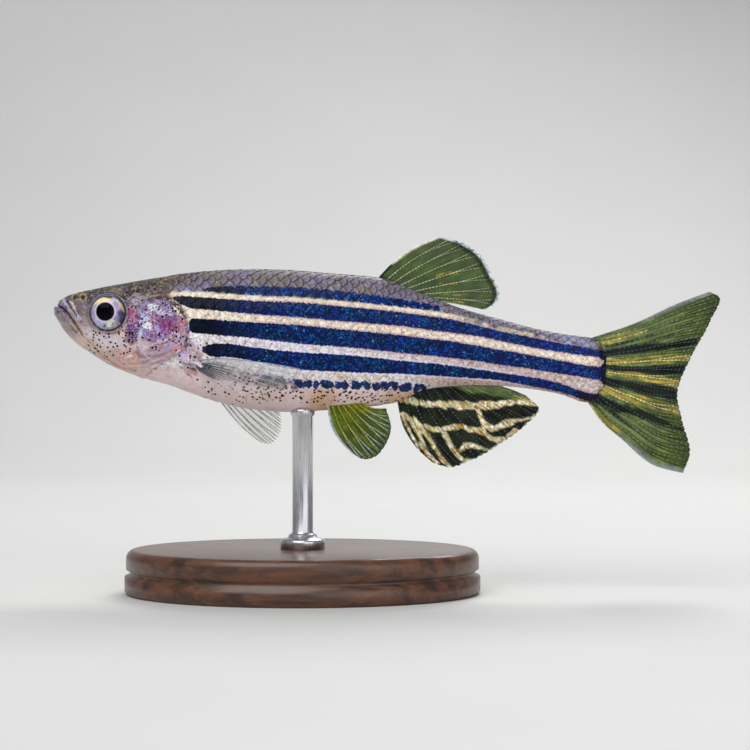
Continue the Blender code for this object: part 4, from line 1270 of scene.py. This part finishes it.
# Marks of the iris in the camera's frame: line, half widths, colour and strength.
EYE_LINES = (
    (((94, 305), (92, 312), (95, 320)), (3.0, 3.6, 3.0), (172, 164, 206), 0.75),
    (((97, 319), (101, 323), (107, 326)), (3.0, 3.4, 2.8), (184, 188, 232), 0.85),
    (((115, 303), (117.5, 310), (115, 318)), (2.0, 2.8, 2.4), (176, 146, 208), 0.85),
    (((121, 313), (121, 320)), (3.2, 3.0), (62, 84, 128), 0.9),
    (((113, 321), (118, 319)), (2.6, 2.4), (150, 132, 150), 0.8),
    (((95, 299), (105, 295.5), (114, 297)), (1.8, 2.6, 1.6), (66, 70, 72), 0.9),
    (((92, 305.5), (96, 301.5), (103, 299.5), (111, 299.5)), (1.2, 2.4, 2.3, 0.8), (244, 214, 148), 0.98),
    (((93.5, 304), (97, 301.5), (101, 301)), (0.8, 1.5, 0.8), (252, 234, 186), 0.9),
    (((117, 301.5), (121, 305), (124.5, 311)), (1.0, 1.8, 1.5), (240, 216, 150), 0.98),
    (((112.5, 297), (117.5, 301)), (0.6, 0.9), (206, 222, 206), 0.9),
    (((108.5, 325), (110.5, 321.5), (113.5, 321)), (2.2, 2.6, 1.4), (226, 236, 214), 0.97),
    (((103.5, 327), (105, 325.5)), (0.8, 0.9), (70, 60, 90), 0.8),
    (((95, 325), (101, 329.5), (109, 330.5), (118, 327)), (0.7, 0.9, 0.9, 0.7), (196, 198, 196), 0.8),
)


def eye_marks(across, height):
    """Silver iris with gold above, a pale ring and the black pupil, and how metallic each is."""
    points = np.stack([across, 0 * across, height], -1)
    radius = np.hypot(across - EYE_AT[0], height - EYE_AT[1])
    right = EYE_SEEN[0] + (across - EYE_AT[0]) * EYE_SCALE
    down = EYE_SEEN[1] - (height - EYE_AT[1]) * EYE_SCALE
    place = np.stack([right, down], -1)
    pupil = np.hypot(right - PUPIL_SEEN[0], down - PUPIL_SEEN[1])
    grain = noise(points, 0.08, 61)
    paint = tint(rgb(158, 158, 178), rgb(230, 230, 240), noise(points, 0.25, 62))
    paint = tint(paint, rgb(96, 92, 120), step(0.5, 0.9, noise(points, 0.16, 63)) * 0.6)
    wobble = (noise(points, 0.12, 64) - 0.5) * 1.0
    for line, widths, colour, strength in EYE_LINES:
        paint = tint(paint, rgb(*colour), on_line(place, line, widths, wobble) * strength)
    paint = paint * (0.82 + 0.36 * grain)[:, None]
    paint = tint(paint, rgb(70, 64, 70), step(1.06, 1.14, radius) * 0.85)
    paint = tint(paint, rgb(160, 158, 180), step(0.05, 0.0, np.abs(radius - 1.2)) * 0.6)
    paint = tint(paint, rgb(240, 226, 234), step(1.1, 0.3, np.abs(pupil - 10.1)) * 0.95)
    black = step(9.6, 9.0, pupil)
    paint = tint(paint, rgb(3, 4, 9), black)
    return paint, 0.3 * (1 - black)


class Fin:
    """A fin's surface: out runs from root to margin and across from the first ray to the last."""

    def __init__(self, base, margin, lead, trail, lay):
        self.curves = [through(line) for line in (base, margin, lead, trail)]
        self.corners = [np.array(p, float) for p in (base[0], base[-1], margin[0], margin[-1])]
        self.lay = lay

    def at(self, out, across):
        """Points at shares of the way out and across."""
        out, across = np.broadcast_arrays(out, across)
        o, a = out[..., None], across[..., None]
        root, edge, first, last = self.curves
        to_first, to_last = (1 - a) ** 2.5, a**2.5
        flat = root(across) * (1 - o) + edge(across) * o + first(out) * to_first + last(out) * to_last
        flat -= (self.corners[0] * to_first + self.corners[1] * to_last) * (1 - o)
        flat -= (self.corners[2] * to_first + self.corners[3] * to_last) * o
        return np.stack([flat[..., 0], self.lay(flat[..., 0], flat[..., 1]), flat[..., 1]], -1)

    def normal(self, out, across, near=0.004):
        """Direction away from the surface, from places this near on both sides."""
        along = self.at(np.minimum(out + near, 1), across) - self.at(np.maximum(out - near, 0), across)
        over = self.at(out, np.minimum(across + near, 1)) - self.at(out, np.maximum(across - near, 0))
        normal = np.cross(along, over)
        return normal / np.linalg.norm(normal, axis=-1, keepdims=True)


# Half the membrane's thickness at the root, and how far apart the joints of a ray are.
MEMBRANE = 0.028
RAY_SEGMENT = 0.24
# Share of the way out where rays end, sides of a ray, and rows of the membrane's grid.
RAY_END = 0.985
RAY_SIDES = 6
FIN_ROWS = 80


class Rays:
    """The rays of a fin, with the shares of the way out where they fork once and twice."""

    def __init__(self, count, forks):
        self.count = count
        self.forks = forks
        self.spacing = 1 / (count - 1)
        self.branches = []
        for ray in range(count):
            middle = ray * self.spacing
            if ray in (0, count - 1) or forks[0] >= 1:
                self.branches.append((0.0, middle, 0.0, 0.0))
                continue
            for one, other in ((-1, -1), (-1, 1), (1, -1), (1, 1)):
                if other > 0 and forks[1] >= 1:
                    continue
                start = forks[1] if other > 0 else (forks[0] if one > 0 else 0.0)
                self.branches.append((start, middle, one * self.spacing * 0.25, other * self.spacing * 0.12))

    def across(self, branch, out):
        """A branch's share of the way across, by the share of the way out."""
        _, middle, one, other = branch
        spread = step(self.forks[0], 1.25, out) * 1.3
        again = step(self.forks[1], 1.2, out) * 1.2
        return np.clip(middle + one * spread + other * again, 0, 1)

    def sheet(self, notch_depth):
        """Shares out and across of the membrane's grid, and how far each is from the nearest ray."""
        tips = np.array([self.across(branch, np.array(1.0)) for branch in self.branches])
        across = np.linspace(0, 1, (self.count - 1) * 10 + 1)
        gap = np.min(np.abs(across[:, None] - tips[None, :]), axis=1) / self.spacing
        notch = notch_depth * np.clip(gap, 0, 0.5) * np.clip(np.minimum(across, 1 - across) / 0.14, 0, 1)
        out = np.linspace(0, 1, FIN_ROWS)[:, None] * (1 - notch)[None, :]
        across = np.broadcast_to(across, out.shape)
        off_ray = np.full(out.shape, 1.0)
        for branch in self.branches:
            apart = np.abs(across - self.across(branch, out)) / self.spacing
            off_ray = np.minimum(off_ray, np.where(out >= branch[0], apart, 1.0))
        return out, across, off_ray

    def tube(self, branch, fin, length, radius):
        """Rings of points of one branch, and the middle, shares out and across, and joint of each ring."""
        count = max(int((RAY_END - branch[0]) * length / RAY_SEGMENT * 3), 6)
        out = np.linspace(branch[0], RAY_END, count)
        across = self.across(branch, out)
        centre, normal = fin.at(out, across), fin.normal(out, across)
        ahead = np.gradient(centre, axis=0)
        ahead /= np.linalg.norm(ahead, axis=1, keepdims=True)
        joint = bell((out * length / RAY_SEGMENT) % 1, 0.5, 0.2)
        radius = radius * (1 - 0.62 * out) * (0.9 + 0.25 * joint)
        radius[-1] *= 0.3
        turns = np.linspace(0, 2 * np.pi, RAY_SIDES, endpoint=False)[None, :, None]
        beside = np.cross(ahead, normal)
        ring = normal[:, None] * np.cos(turns) * 1.15 + beside[:, None] * np.sin(turns)
        return centre[:, None] + radius[:, None, None] * ring, centre, out, across, joint


def make_fin(name, fin, rays, radius, marks, finish, notch_depth=0.11):
    """A fin as a thin membrane and raised, jointed, forked rays, joined in one piece."""
    out, across, off_ray = rays.sheet(notch_depth)
    place, normal = fin.at(out, across), fin.normal(out, across)
    half = MEMBRANE * (1 - 0.4 * out)[..., None]
    edge = grid_edge(*out.shape)
    walls = np.stack([edge, np.roll(edge, -1), np.roll(edge, -1) + out.size, edge + out.size], -1)
    points = [(place - normal * half).reshape(-1, 3), (place + normal * half).reshape(-1, 3)]
    faces = [grid_faces(*out.shape), grid_faces(*out.shape, out.size)[:, ::-1], walls[:, ::-1]]
    painted = [marks(place.reshape(-1, 3), out.ravel(), across.ravel(), -1 - off_ray.ravel())] * 2

    start = 2 * out.size
    length = np.linalg.norm(np.diff(fin.at(np.linspace(0, 1, 20), 0.5), axis=0), axis=1).sum()
    for branch in rays.branches:
        rings, *places = rays.tube(branch, fin, length, radius)
        last = start + (len(rings) - 1) * RAY_SIDES
        points.append(rings.reshape(-1, 3))
        faces.append(grid_faces(len(rings), RAY_SIDES, start, closed=True))
        faces.append(start + np.arange(RAY_SIDES)[None, ::-1])
        faces.append(last + np.arange(RAY_SIDES)[None, :])
        painted.append(marks(*(np.repeat(value, RAY_SIDES, axis=0) for value in places)))
        start = last + RAY_SIDES
    paints, covers = zip(*painted)
    values = {"paint": np.vstack(paints), "cover": np.concatenate(covers)}
    piece = add_mesh(name + "_detail", np.vstack(points), faces, finish, values)
    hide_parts(name)


# Tones of a fin: two colours of the membrane, its shade beside the rays, its cover, and the colours of its
# rays between and at their joints.
CLEAR = ((66, 90, 14), (96, 122, 30), 0.34, 0.72, (92, 104, 68), (142, 152, 112))
DARK = ((11, 16, 10), (32, 43, 17), 0.5, 0.97, (9, 12, 16), (92, 106, 118))
BLACK = ((10, 15, 9), (26, 36, 16), 0.3, 0.95, (6, 8, 12), (84, 100, 114))
GOLD = ((112, 122, 30), (186, 164, 66), 0.45, 0.88, (176, 158, 76), (250, 242, 206))
CREAM = ((176, 150, 74), (232, 226, 176), 0.55, 0.96, (226, 214, 166), (255, 250, 236))
PALE = ((160, 166, 152), (178, 184, 174), 0.85, 0.15, (206, 208, 206), (250, 250, 252))
SAIL = ((52, 76, 14), (68, 96, 20), 0.72, 0.8, (128, 136, 108), (216, 216, 192))
# Bands of a tone: the line in the camera's frame, its half widths and its strength.
TAIL_BANDS = (
    (GOLD, ((604, 344), (625, 336), (645, 331)), (5, 4, 1), 0.7),
    (GOLD, ((590, 406), (606, 421), (622, 434)), (4, 4, 1), 0.8),
    (BLACK, ((602, 354), (620, 351), (650, 348), (694, 342)), (3.0, 4.8, 4.0, 3.2), 1.0),
    (BLACK, ((606, 347), (630, 341), (660, 333)), (0.8, 1.0, 0.5), 0.9),
    (BLACK, ((610, 350), (640, 344), (700, 326)), (0.8, 1.2, 0.5), 0.8),
    (GOLD, ((603, 361.5), (640, 361), (692, 358)), (4.6, 3.6, 3.0), 1.0),
    (BLACK, ((602, 367), (640, 369.5), (684, 370)), (2.2, 4.2, 5.0), 1.0),
    (GOLD, ((604, 373.5), (640, 376.5), (660, 379.5), (681, 385)), (2.4, 2.6, 3.0, 3.6), 1.0),
    (BLACK, ((598, 380), (620, 384), (650, 390), (680, 396)), (3.6, 5.0, 6.0, 5.2), 1.0),
    (GOLD, ((598, 389), (620, 395), (650, 403), (681, 413)), (4.0, 4.0, 4.0, 3.6), 1.0),
    (BLACK, ((596, 397), (620, 407), (650, 418), (684, 430)), (3.8, 4.6, 3.8, 1.8), 1.0),
    (BLACK, ((598, 402), (612, 413), (634, 430)), (1.6, 1.6, 0.6), 0.9),
    (BLACK, ((593, 402), (604, 414), (618, 430)), (1.2, 1.0, 0.4), 0.8),
)
DORSAL_BANDS = (
    (DARK, ((380, 277), (400, 288), (430, 298)), (2.5, 3.0, 2.0), 0.5),
    (GOLD, ((437, 275), (446, 273), (457, 272)), (1.0, 1.4, 0.8), 0.8),
    (GOLD, ((442, 285), (456, 283)), (1.2, 1.0), 0.8),
    (GOLD, ((444, 294), (460, 295)), (1.2, 1.0), 0.8),
    (GOLD, ((454, 301), (463, 303)), (1.0, 0.8), 0.7),
)
ANAL_BANDS = (
    (CLEAR, ((462, 387), (500, 390), (528, 396)), (3, 7, 5), 0.9),
    (CLEAR, ((424, 386), (470, 385.5), (500, 385)), (1.6, 1.8, 1.0), 0.8),
    (
        CREAM, ((402, 399), (412, 401), (425, 404), (455, 405), (485, 405.5), (515, 402), (536, 404)),
        (2.6, 3.6, 3.6, 2.2), 1.0,
    ),
    (
        CREAM,
        ((401, 414), (411, 419), (421, 425), (434, 430), (446, 428.5), (460, 426), (470, 429), (482, 432)),
        (2.2, 2.8), 1.0,
    ),
    (CREAM, ((482, 432), (489, 438), (497, 441), (503, 440)), (2.2, 2.0), 1.0),
    (
        CREAM, ((478, 408), (481, 417), (485, 424), (492, 428), (500, 426.5), (513, 421), (536, 418)),
        (1.8, 2.8, 2.4), 1.0,
    ),
    (CREAM, ((485, 424), (483, 432)), (1.6, 1.8), 1.0),
    (CREAM, ((411, 419), (417, 430), (422, 443), (428, 454), (437, 463)), (2.0, 2.8, 1.6), 1.0),
    (CREAM, ((422, 426), (429, 437), (436, 449), (443, 460), (450, 466)), (2.2, 3.2, 1.8), 1.0),
    (CREAM, ((401, 414), (406, 425), (413, 438), (419, 450)), (1.2, 1.4, 0.8), 0.9),
    (CREAM, ((441, 429), (447, 436), (451, 445), (456, 454), (462, 460), (470, 461)), (2.0, 3.0, 1.8), 1.0),
    (CREAM, ((458, 452), (465, 445.5), (473, 445.5), (482, 448), (488, 450)), (2.2, 2.6, 1.0), 1.0),
    (CREAM, ((508, 436), (516, 431)), (1.6, 2.2), 0.9),
    (GOLD, ((514, 398), (530, 399)), (1.4, 1.0), 0.8),
)


def toned(tone, points, joint, patch, streak):
    """Colour and cover of a fin all in one tone, with patches and streaks from 0 to 1."""
    sheet, other, shade, cover, low, high = tone
    beside = step(0.28, 0.08, -1 - joint)
    light = (1 - (1 - shade) * beside) * (0.84 + 0.32 * streak)
    film = tint(rgb(*sheet), rgb(*other), patch) * light[:, None]
    if tone in (CREAM, PALE):
        film = tint(film, rgb(196, 124, 60), step(0.55, 0.8, noise(points, 0.3, 83)) * 0.3)
        film = tint(film, rgb(255, 252, 240), step(0.58, 0.8, noise(points, 0.15, 80)) * 0.8)
    is_ray = joint >= 0
    ray = tint(rgb(*low), rgb(*high), np.clip(joint, 0, 1))
    clear = np.minimum(cover + 0.25 * beside * (cover < 0.8) * (shade < 0.8), 1)
    return np.where(is_ray[:, None], ray, film), np.where(is_ray, np.maximum(cover, 0.9), clear)


def fin_marks(tone, bands):
    """Marks of a fin: one tone all over, and other tones along bands in the camera's frame.

    joint is 0 to 1 along each joint of a ray, and on the membrane -1 less the distance from the nearest ray.
    """

    def streaks(out, across, along, over, seed):
        """Random values drawn out along the rays."""
        return noise(np.stack([across * over, out * along, 0 * out], -1), 1.0, seed)

    def marks(points, out, across, joint):
        place = np.stack(seen_at(points), -1)
        ragged = (noise(points, 0.3, 72) - 0.5) * 1.6 + (streaks(out, across, 3, 34, 78) - 0.5) * 3.0
        streak = streaks(out, across, 9, 70, 76)
        patch = step(0.3, 0.7, 0.5 * noise(points, 0.4, 73) + 0.5 * streak)
        paint, cover = toned(tone, points, joint, patch, streak)
        for band_tone, line, widths, strength in bands:
            share = on_line(place, line, widths, ragged) * strength
            band_paint, band_cover = toned(band_tone, points, joint, patch, streak)
            paint = tint(paint, band_paint, share)
            cover = mix(cover, band_cover, share)
        grain = noise(points, 0.35, 71)
        return paint * (0.8 + 0.4 * grain)[:, None], cover

    return marks


def edged(marks, from_ray, dark_from, edge_from):
    """Adds a dark band and a pale beaded edge along the margin, from one ray on."""

    def with_edge(points, out, across, joint):
        paint, cover = marks(points, out, across, joint)
        along = step(from_ray, from_ray + 0.15, across)
        band = step(dark_from, dark_from + 0.05, out) * along
        paint = tint(paint, rgb(18, 22, 18), band * 0.75)
        cover = mix(cover, 0.9, band * 0.8)
        beads = step(0.35, 0.6, noise(points, 0.16, 74))[:, None]
        gold = step(0.5, 0.7, noise(points, 0.5, 75))[:, None]
        edge = rgb(214, 226, 230) * (1 - gold * 0.6) + rgb(220, 190, 110) * gold * 0.6
        share = step(edge_from, edge_from + 0.02, out)
        paint = tint(paint, edge * (0.35 + 0.65 * beads), share)
        return paint, mix(cover, 0.95, share)

    return with_edge


def upright(back, height):
    """How far an upright fin waves to the side."""
    return 0.12 * np.sin(back * 0.9) * np.sin(height * 0.7)


def make_dorsal_fin(finish):
    """The fin of the back, with a dark and pale front ray."""
    base = [(back, float(TOP_HEIGHT(section_number(back))) - 0.15) for back in (21.75, 23.1, 24.3, 25.5)]
    lead = (base[0], (22.85, 22.3), (24.0, 23.18), (26.0, 24.1))
    margin = (
        lead[-1], (27.7, 23.6), (28.8, 22.8), (29.6, 21.4), (30.05, 20.1), (29.75, 19.5), (29.05, 19.15),
    )
    trail = (base[-1], (27.4, 19.5), margin[-1])
    plain = edged(fin_marks(SAIL, DORSAL_BANDS), 0.12, 0.88, 0.955)

    def marks(points, out, across, joint):
        paint, cover = plain(points, out, across, joint)
        front = step(0.035, 0.0, across)
        paint = tint(paint, tint(rgb(30, 30, 40), rgb(250, 238, 220), step(0.26, 0.32, out)), front)
        return paint, mix(cover, 1.0, front)

    fin = Fin(base, margin, lead, trail, upright)
    make_fin("dorsal_fin", fin, Rays(9, (0.5, 0.85)), 0.05, marks, finish)


def make_anal_fin(finish):
    """The dark fin behind the belly, with cream bands."""
    base = [(back, float(underside(back, 0)) + 0.15) for back in (23.15, 24.4, 25.6, 27.0, 29.0)]
    lead = (base[0], (23.6, 11.2), (24.4, 9.9), (25.6, 8.75))
    margin = (lead[-1], (26.7, 8.47), (28.1, 8.9), (30.2, 10.1), (31.9, 11.4), (32.74, 12.4), (31.9, 13.3))
    trail = (base[-1], (30.8, 13.75), margin[-1])
    plain = fin_marks(DARK, ANAL_BANDS)

    def marks(points, out, across, joint):
        paint, cover = plain(points, out, across, joint)
        margin = step(0.972, 0.99, out) * step(0.3, 0.7, noise(points, 0.25, 77))
        return tint(paint, rgb(196, 206, 190), margin * 0.8), cover

    fin = Fin(base, margin, lead, trail, upright)
    make_fin("anal_fin", fin, Rays(13, (0.35, 0.75)), 0.055, marks, finish)


def make_tail_fin(finish):
    """The forked tail fin, into which the body's stripes run on."""
    base = ((36.3, 17.2), (36.7, 16.3), (36.85, 15.1), (36.65, 13.8), (36.0, 13.0))
    lead = (base[0], (39.1, 18.15), (42.0, 19.5), (44.28, 20.36))
    margin = (
        lead[-1], (44.9, 20.05), (44.35, 18.4), (43.0, 15.9), (42.1, 13.4), (42.45, 11.6), (42.95, 9.4),
        (42.45, 8.1),
    )
    trail = (base[-1], (37.0, 11.6), (38.3, 10.45), (40.4, 8.7), margin[-1])
    plain = edged(fin_marks(CLEAR, TAIL_BANDS), -1.0, 0.965, 0.99)

    def marks(points, out, across, joint):
        paint, cover = plain(points, out, across, joint)
        # Painted shade: the fin is made dark and opaque at its root, where it leaves the body.
        root = step(0.07, 0.02, out + (noise(points, 0.3, 79) - 0.5) * 0.04)
        ends = np.maximum(step(0.03, 0.0, across), step(0.97, 1.0, across)) * step(0.3, 0.5, out)
        paint = tint(paint, rgb(16, 18, 22), root * 0.75)
        return tint(paint, rgb(150, 158, 158), ends * 0.8), np.maximum(cover, root)

    fin = Fin(base, margin, lead, trail, upright)
    make_fin("tail_fin", fin, Rays(19, (0.3, 0.65)), 0.06, marks, finish)


def make_pectoral_fins(finish):
    """The left fin folded back against the flank and the right one lowered."""
    root_back, root_height = 9.9, 15.4
    skin = float(side(root_back, root_height)) + 0.02

    def away_from_root(back, height):
        return np.hypot(back - root_back, height - root_height)

    def folded(back, height):
        away = away_from_root(back, height)
        return -(skin + 0.6 * step(0, 2.6, away) + 0.17 * away - 0.006 * away * away)

    def lowered(back, height):
        away = away_from_root(back, height)
        return skin + 0.6 * step(0, 2.6, away) + 0.3 * away

    def marks(points, out, across, joint):
        is_ray = joint >= 0
        root = step(0.6, 0.3, out) * step(0.08, 0.2, across)
        paint = tint(rgb(196, 194, 196), rgb(216, 218, 222), step(0.3, 0.7, noise(points, 0.3, 81)))
        rays = tint(rgb(224, 226, 236), rgb(30, 31, 48), root * (1 - 0.3 * np.clip(joint, 0, 1)))
        front = step(0.12, 0.05, across)
        rays = tint(rays, rgb(150, 158, 186), front)
        cover = np.where(is_ray, 0.16 + 0.74 * root + 0.5 * front, 0.04 + 0.3 * front)
        return np.where(is_ray[:, None], rays, paint), cover

    base = ((9.5, 15.7), (9.7, 15.4), (9.9, 15.05))
    lead = (base[0], (11.6, 15.8), (13.4, 15.65), (15.6, 15.35), (16.85, 15.1))
    margin = (lead[-1], (16.6, 14.5), (15.9, 13.85), (14.8, 13.45), (13.4, 13.3), (12.2, 13.65))
    trail = (base[-1], (11.0, 14.4), margin[-1])
    fin = Fin(base, margin, lead, trail, folded)
    make_fin("pectoral_fin_left", fin, Rays(12, (0.6, 1.0)), 0.042, marks, finish)

    base = ((9.6, 15.0), (9.8, 15.2), (10.0, 15.4))
    lead = (base[0], (10.95, 12.9), (12.5, 11.0), (13.75, 9.95))
    margin = (lead[-1], (14.4, 9.85), (15.05, 10.6), (15.15, 11.7), (14.9, 12.7))
    trail = (base[-1], (12.6, 14.1), margin[-1])
    fin = Fin(base, margin, lead, trail, lowered)
    make_fin("pectoral_fin_right", fin, Rays(10, (0.45, 1.0)), 0.075, fin_marks(PALE, ()), finish, 0.22)


def make_pelvic_fins(finish):
    """The pair of fins below the belly."""
    plain = fin_marks(CLEAR, ())

    def marks(points, out, across, joint):
        paint, cover = plain(points, out, across, joint)
        is_ray = joint >= 0
        outer = step(0.3, 0.75, out + (noise(points, 0.5, 82) - 0.5) * 0.4)
        rays = tint(rgb(196, 168, 50), rgb(196, 200, 196), outer)
        rays = rays * (0.65 + 0.4 * np.clip(joint, 0, 1))[:, None]
        paint = np.where(is_ray[:, None], rays, paint)
        front = step(0.06, 0.0, across)
        return tint(paint, rgb(184, 184, 194), front), mix(cover, 0.95, front)

    for name, turn in (("left", -1), ("right", 1)):
        def lay(back, height, turn=turn):
            return turn * (0.75 + 0.16 * (12.4 - height))

        base = [(back, float(underside(back, 0.75)) + 0.12) for back in (18.4, 19.4, 20.5)]
        lead = (base[0], (18.8, 11.1), (19.3, 10.3), (20.2, 9.4))
        margin = (lead[-1], (20.85, 9.08), (21.6, 9.2), (22.3, 9.95), (22.72, 11.1), (22.4, 12.45))
        trail = (base[-1], (21.4, 12.5), margin[-1])
        fin = Fin(base, margin, lead, trail, lay)
        make_fin(f"pelvic_fin_{name}", fin, Rays(8, (0.3, 0.65)), 0.055, marks, finish)


def turned(name, profile, columns, finish, stretch=(1.0, 1.0)):
    """A piece turned about the stand's middle from a profile of radius and height, closed at both ends."""
    profile = np.array(profile, float)
    around = np.linspace(0, 2 * np.pi, columns, endpoint=False)
    rings = np.stack([
        STAND_AT + profile[:, :1] * stretch[0] * np.cos(around),
        profile[:, :1] * stretch[1] * np.sin(around),
        profile[:, 1:] + 0 * around,
    ], -1)
    rows = len(profile)
    faces = [
        grid_faces(rows, columns, closed=True)[:, ::-1],
        np.arange(columns)[None, ::-1],
        (rows - 1) * columns + np.arange(columns)[None, :],
    ]
    return add_mesh(name, rings.reshape(-1, 3), faces, finish)


def rounded(radius, height, size, count):
    """Profile points round an upper edge."""
    turns = np.linspace(0, np.pi / 2, count)
    return [(radius - size + size * math.cos(a), height - size + size * math.sin(a)) for a in turns]


def make_stand():
    """An oval base with a moulded edge, and a post with a collar at its foot and another at the belly."""
    half = BASE_LENGTH / 2
    profile = [(half - 0.25, 0.0), (half, 0.25), (half, 1.2), (half - 0.35, 1.35), (half - 0.35, 1.55)]
    profile += [(half - 0.1, 1.7), *rounded(half - 0.1, BASE_HEIGHT, 0.6, 8)]
    base = turned("stand_plinth", profile, 160, wood_finish(), (1.0, BASE_WIDTH / BASE_LENGTH))
    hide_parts("stand_base")
    foot = BASE_HEIGHT - 0.1
    top = float(underside(STAND_AT, 0)) + 0.25
    profile = [(1.5, foot), (1.5, foot + 0.55), *rounded(1.5, foot + 0.8, 0.22, 5)]
    profile += [(1.0, foot + 0.84), (0.95, foot + 1.05), (0.78, foot + 1.12), (ROD_RADIUS, foot + 1.25)]
    profile += [(ROD_RADIUS, top - 0.6), (0.82, top - 0.45), (0.82, top)]
    rod = turned("stand_post", profile, 64, steel_finish())
    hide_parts("stand_rod")


# Lamps in metres: name, place, size and power. They all point at the fish.
LAMPS = (
    ("key_lamp", (-0.1, -0.2, 0.26), 0.26, 0.7),
    ("fill_lamp", (0.16, -0.26, 0.06), 0.3, 0.34),
    ("rim_lamp", (0.05, 0.16, 0.2), 0.14, 0.4),
)
FISH_MIDDLE = (0, 0, 0.016)
SKY = (0.93, 0.95, 1.0, 1)
SKY_STRENGTH = 0.34


def make_floor():
    """A pale floor that curves up into a backdrop."""
    width, depth, bend, tall = 0.9, 0.16, 0.12, 0.5
    turns = np.linspace(0.1, math.pi / 2, 14)
    profile = [(-0.6, 0.0), (depth, 0.0)]
    profile += [(depth + bend * math.sin(a), bend - bend * math.cos(a)) for a in turns]
    profile.append((depth + bend, tall))
    mesh = bpy.data.meshes.new("floor")
    points = [(x, y, z) for y, z in profile for x in (-width, width)]
    faces = [(2 * i, 2 * i + 1, 2 * i + 3, 2 * i + 2) for i in range(len(profile) - 1)]
    mesh.from_pydata(points, [], faces)
    mesh.shade_smooth()
    finish = Finish("floor")
    shown = finish.blend(finish.noise(0.05), rgb(206, 206, 204), rgb(212, 212, 210))
    mesh.materials.append(finish.shade(Base_Color=shown, Roughness=0.7))
    floor = link("floor", mesh)


def make_lights():
    """Soft lamps and an even light from all round."""
    for name, place, size, power in LAMPS:
        lamp = bpy.data.lights.new(name, "AREA")
        lamp.energy = power
        lamp.shape = "SQUARE"
        lamp.size = size
        made = link(name, lamp)
        made.location = place
        right, ahead, up = np.array(FISH_MIDDLE) - place
        made.rotation_euler = (math.atan2(math.hypot(right, ahead), -up), 0, math.atan2(-right, ahead))
    world = bpy.data.worlds.new("studio")
    world.use_nodes = True
    background = world.node_tree.nodes["Background"]
    background.inputs[0].default_value = SKY
    background.inputs[1].default_value = SKY_STRENGTH
    bpy.context.scene.world = world
    bpy.context.scene.view_settings.view_transform = "Standard"


def make_camera():
    """The photo's view of the fish."""
    camera = bpy.data.cameras.new("camera")
    camera.lens = 100
    camera.sensor_width = 36
    camera.clip_start = 0.01
    made = link("camera", camera)
    made.location = (VIEW_CENTRE[0] * MM, -VIEW_AWAY * MM, VIEW_CENTRE[1] * MM)
    made.rotation_euler = (math.pi / 2, 0, 0)
    bpy.context.scene.camera = made


def main():
    skin = flank_finish()
    make_skin(skin)
    body = Body(0.12, 0.12, 160)
    make_scales("scales_left", 1, skin, body)
    make_scales("scales_right", -1, skin, body)
    eye = eye_finish()
    make_eye("eye_left", 1, eye)
    make_eye("eye_right", -1, eye)
    fins = fin_finish()
    make_dorsal_fin(fins)
    make_anal_fin(fins)
    make_tail_fin(fins)
    make_pectoral_fins(fins)
    make_pelvic_fins(fins)
    make_stand()
    make_floor()
    make_lights()
    make_camera()


main()
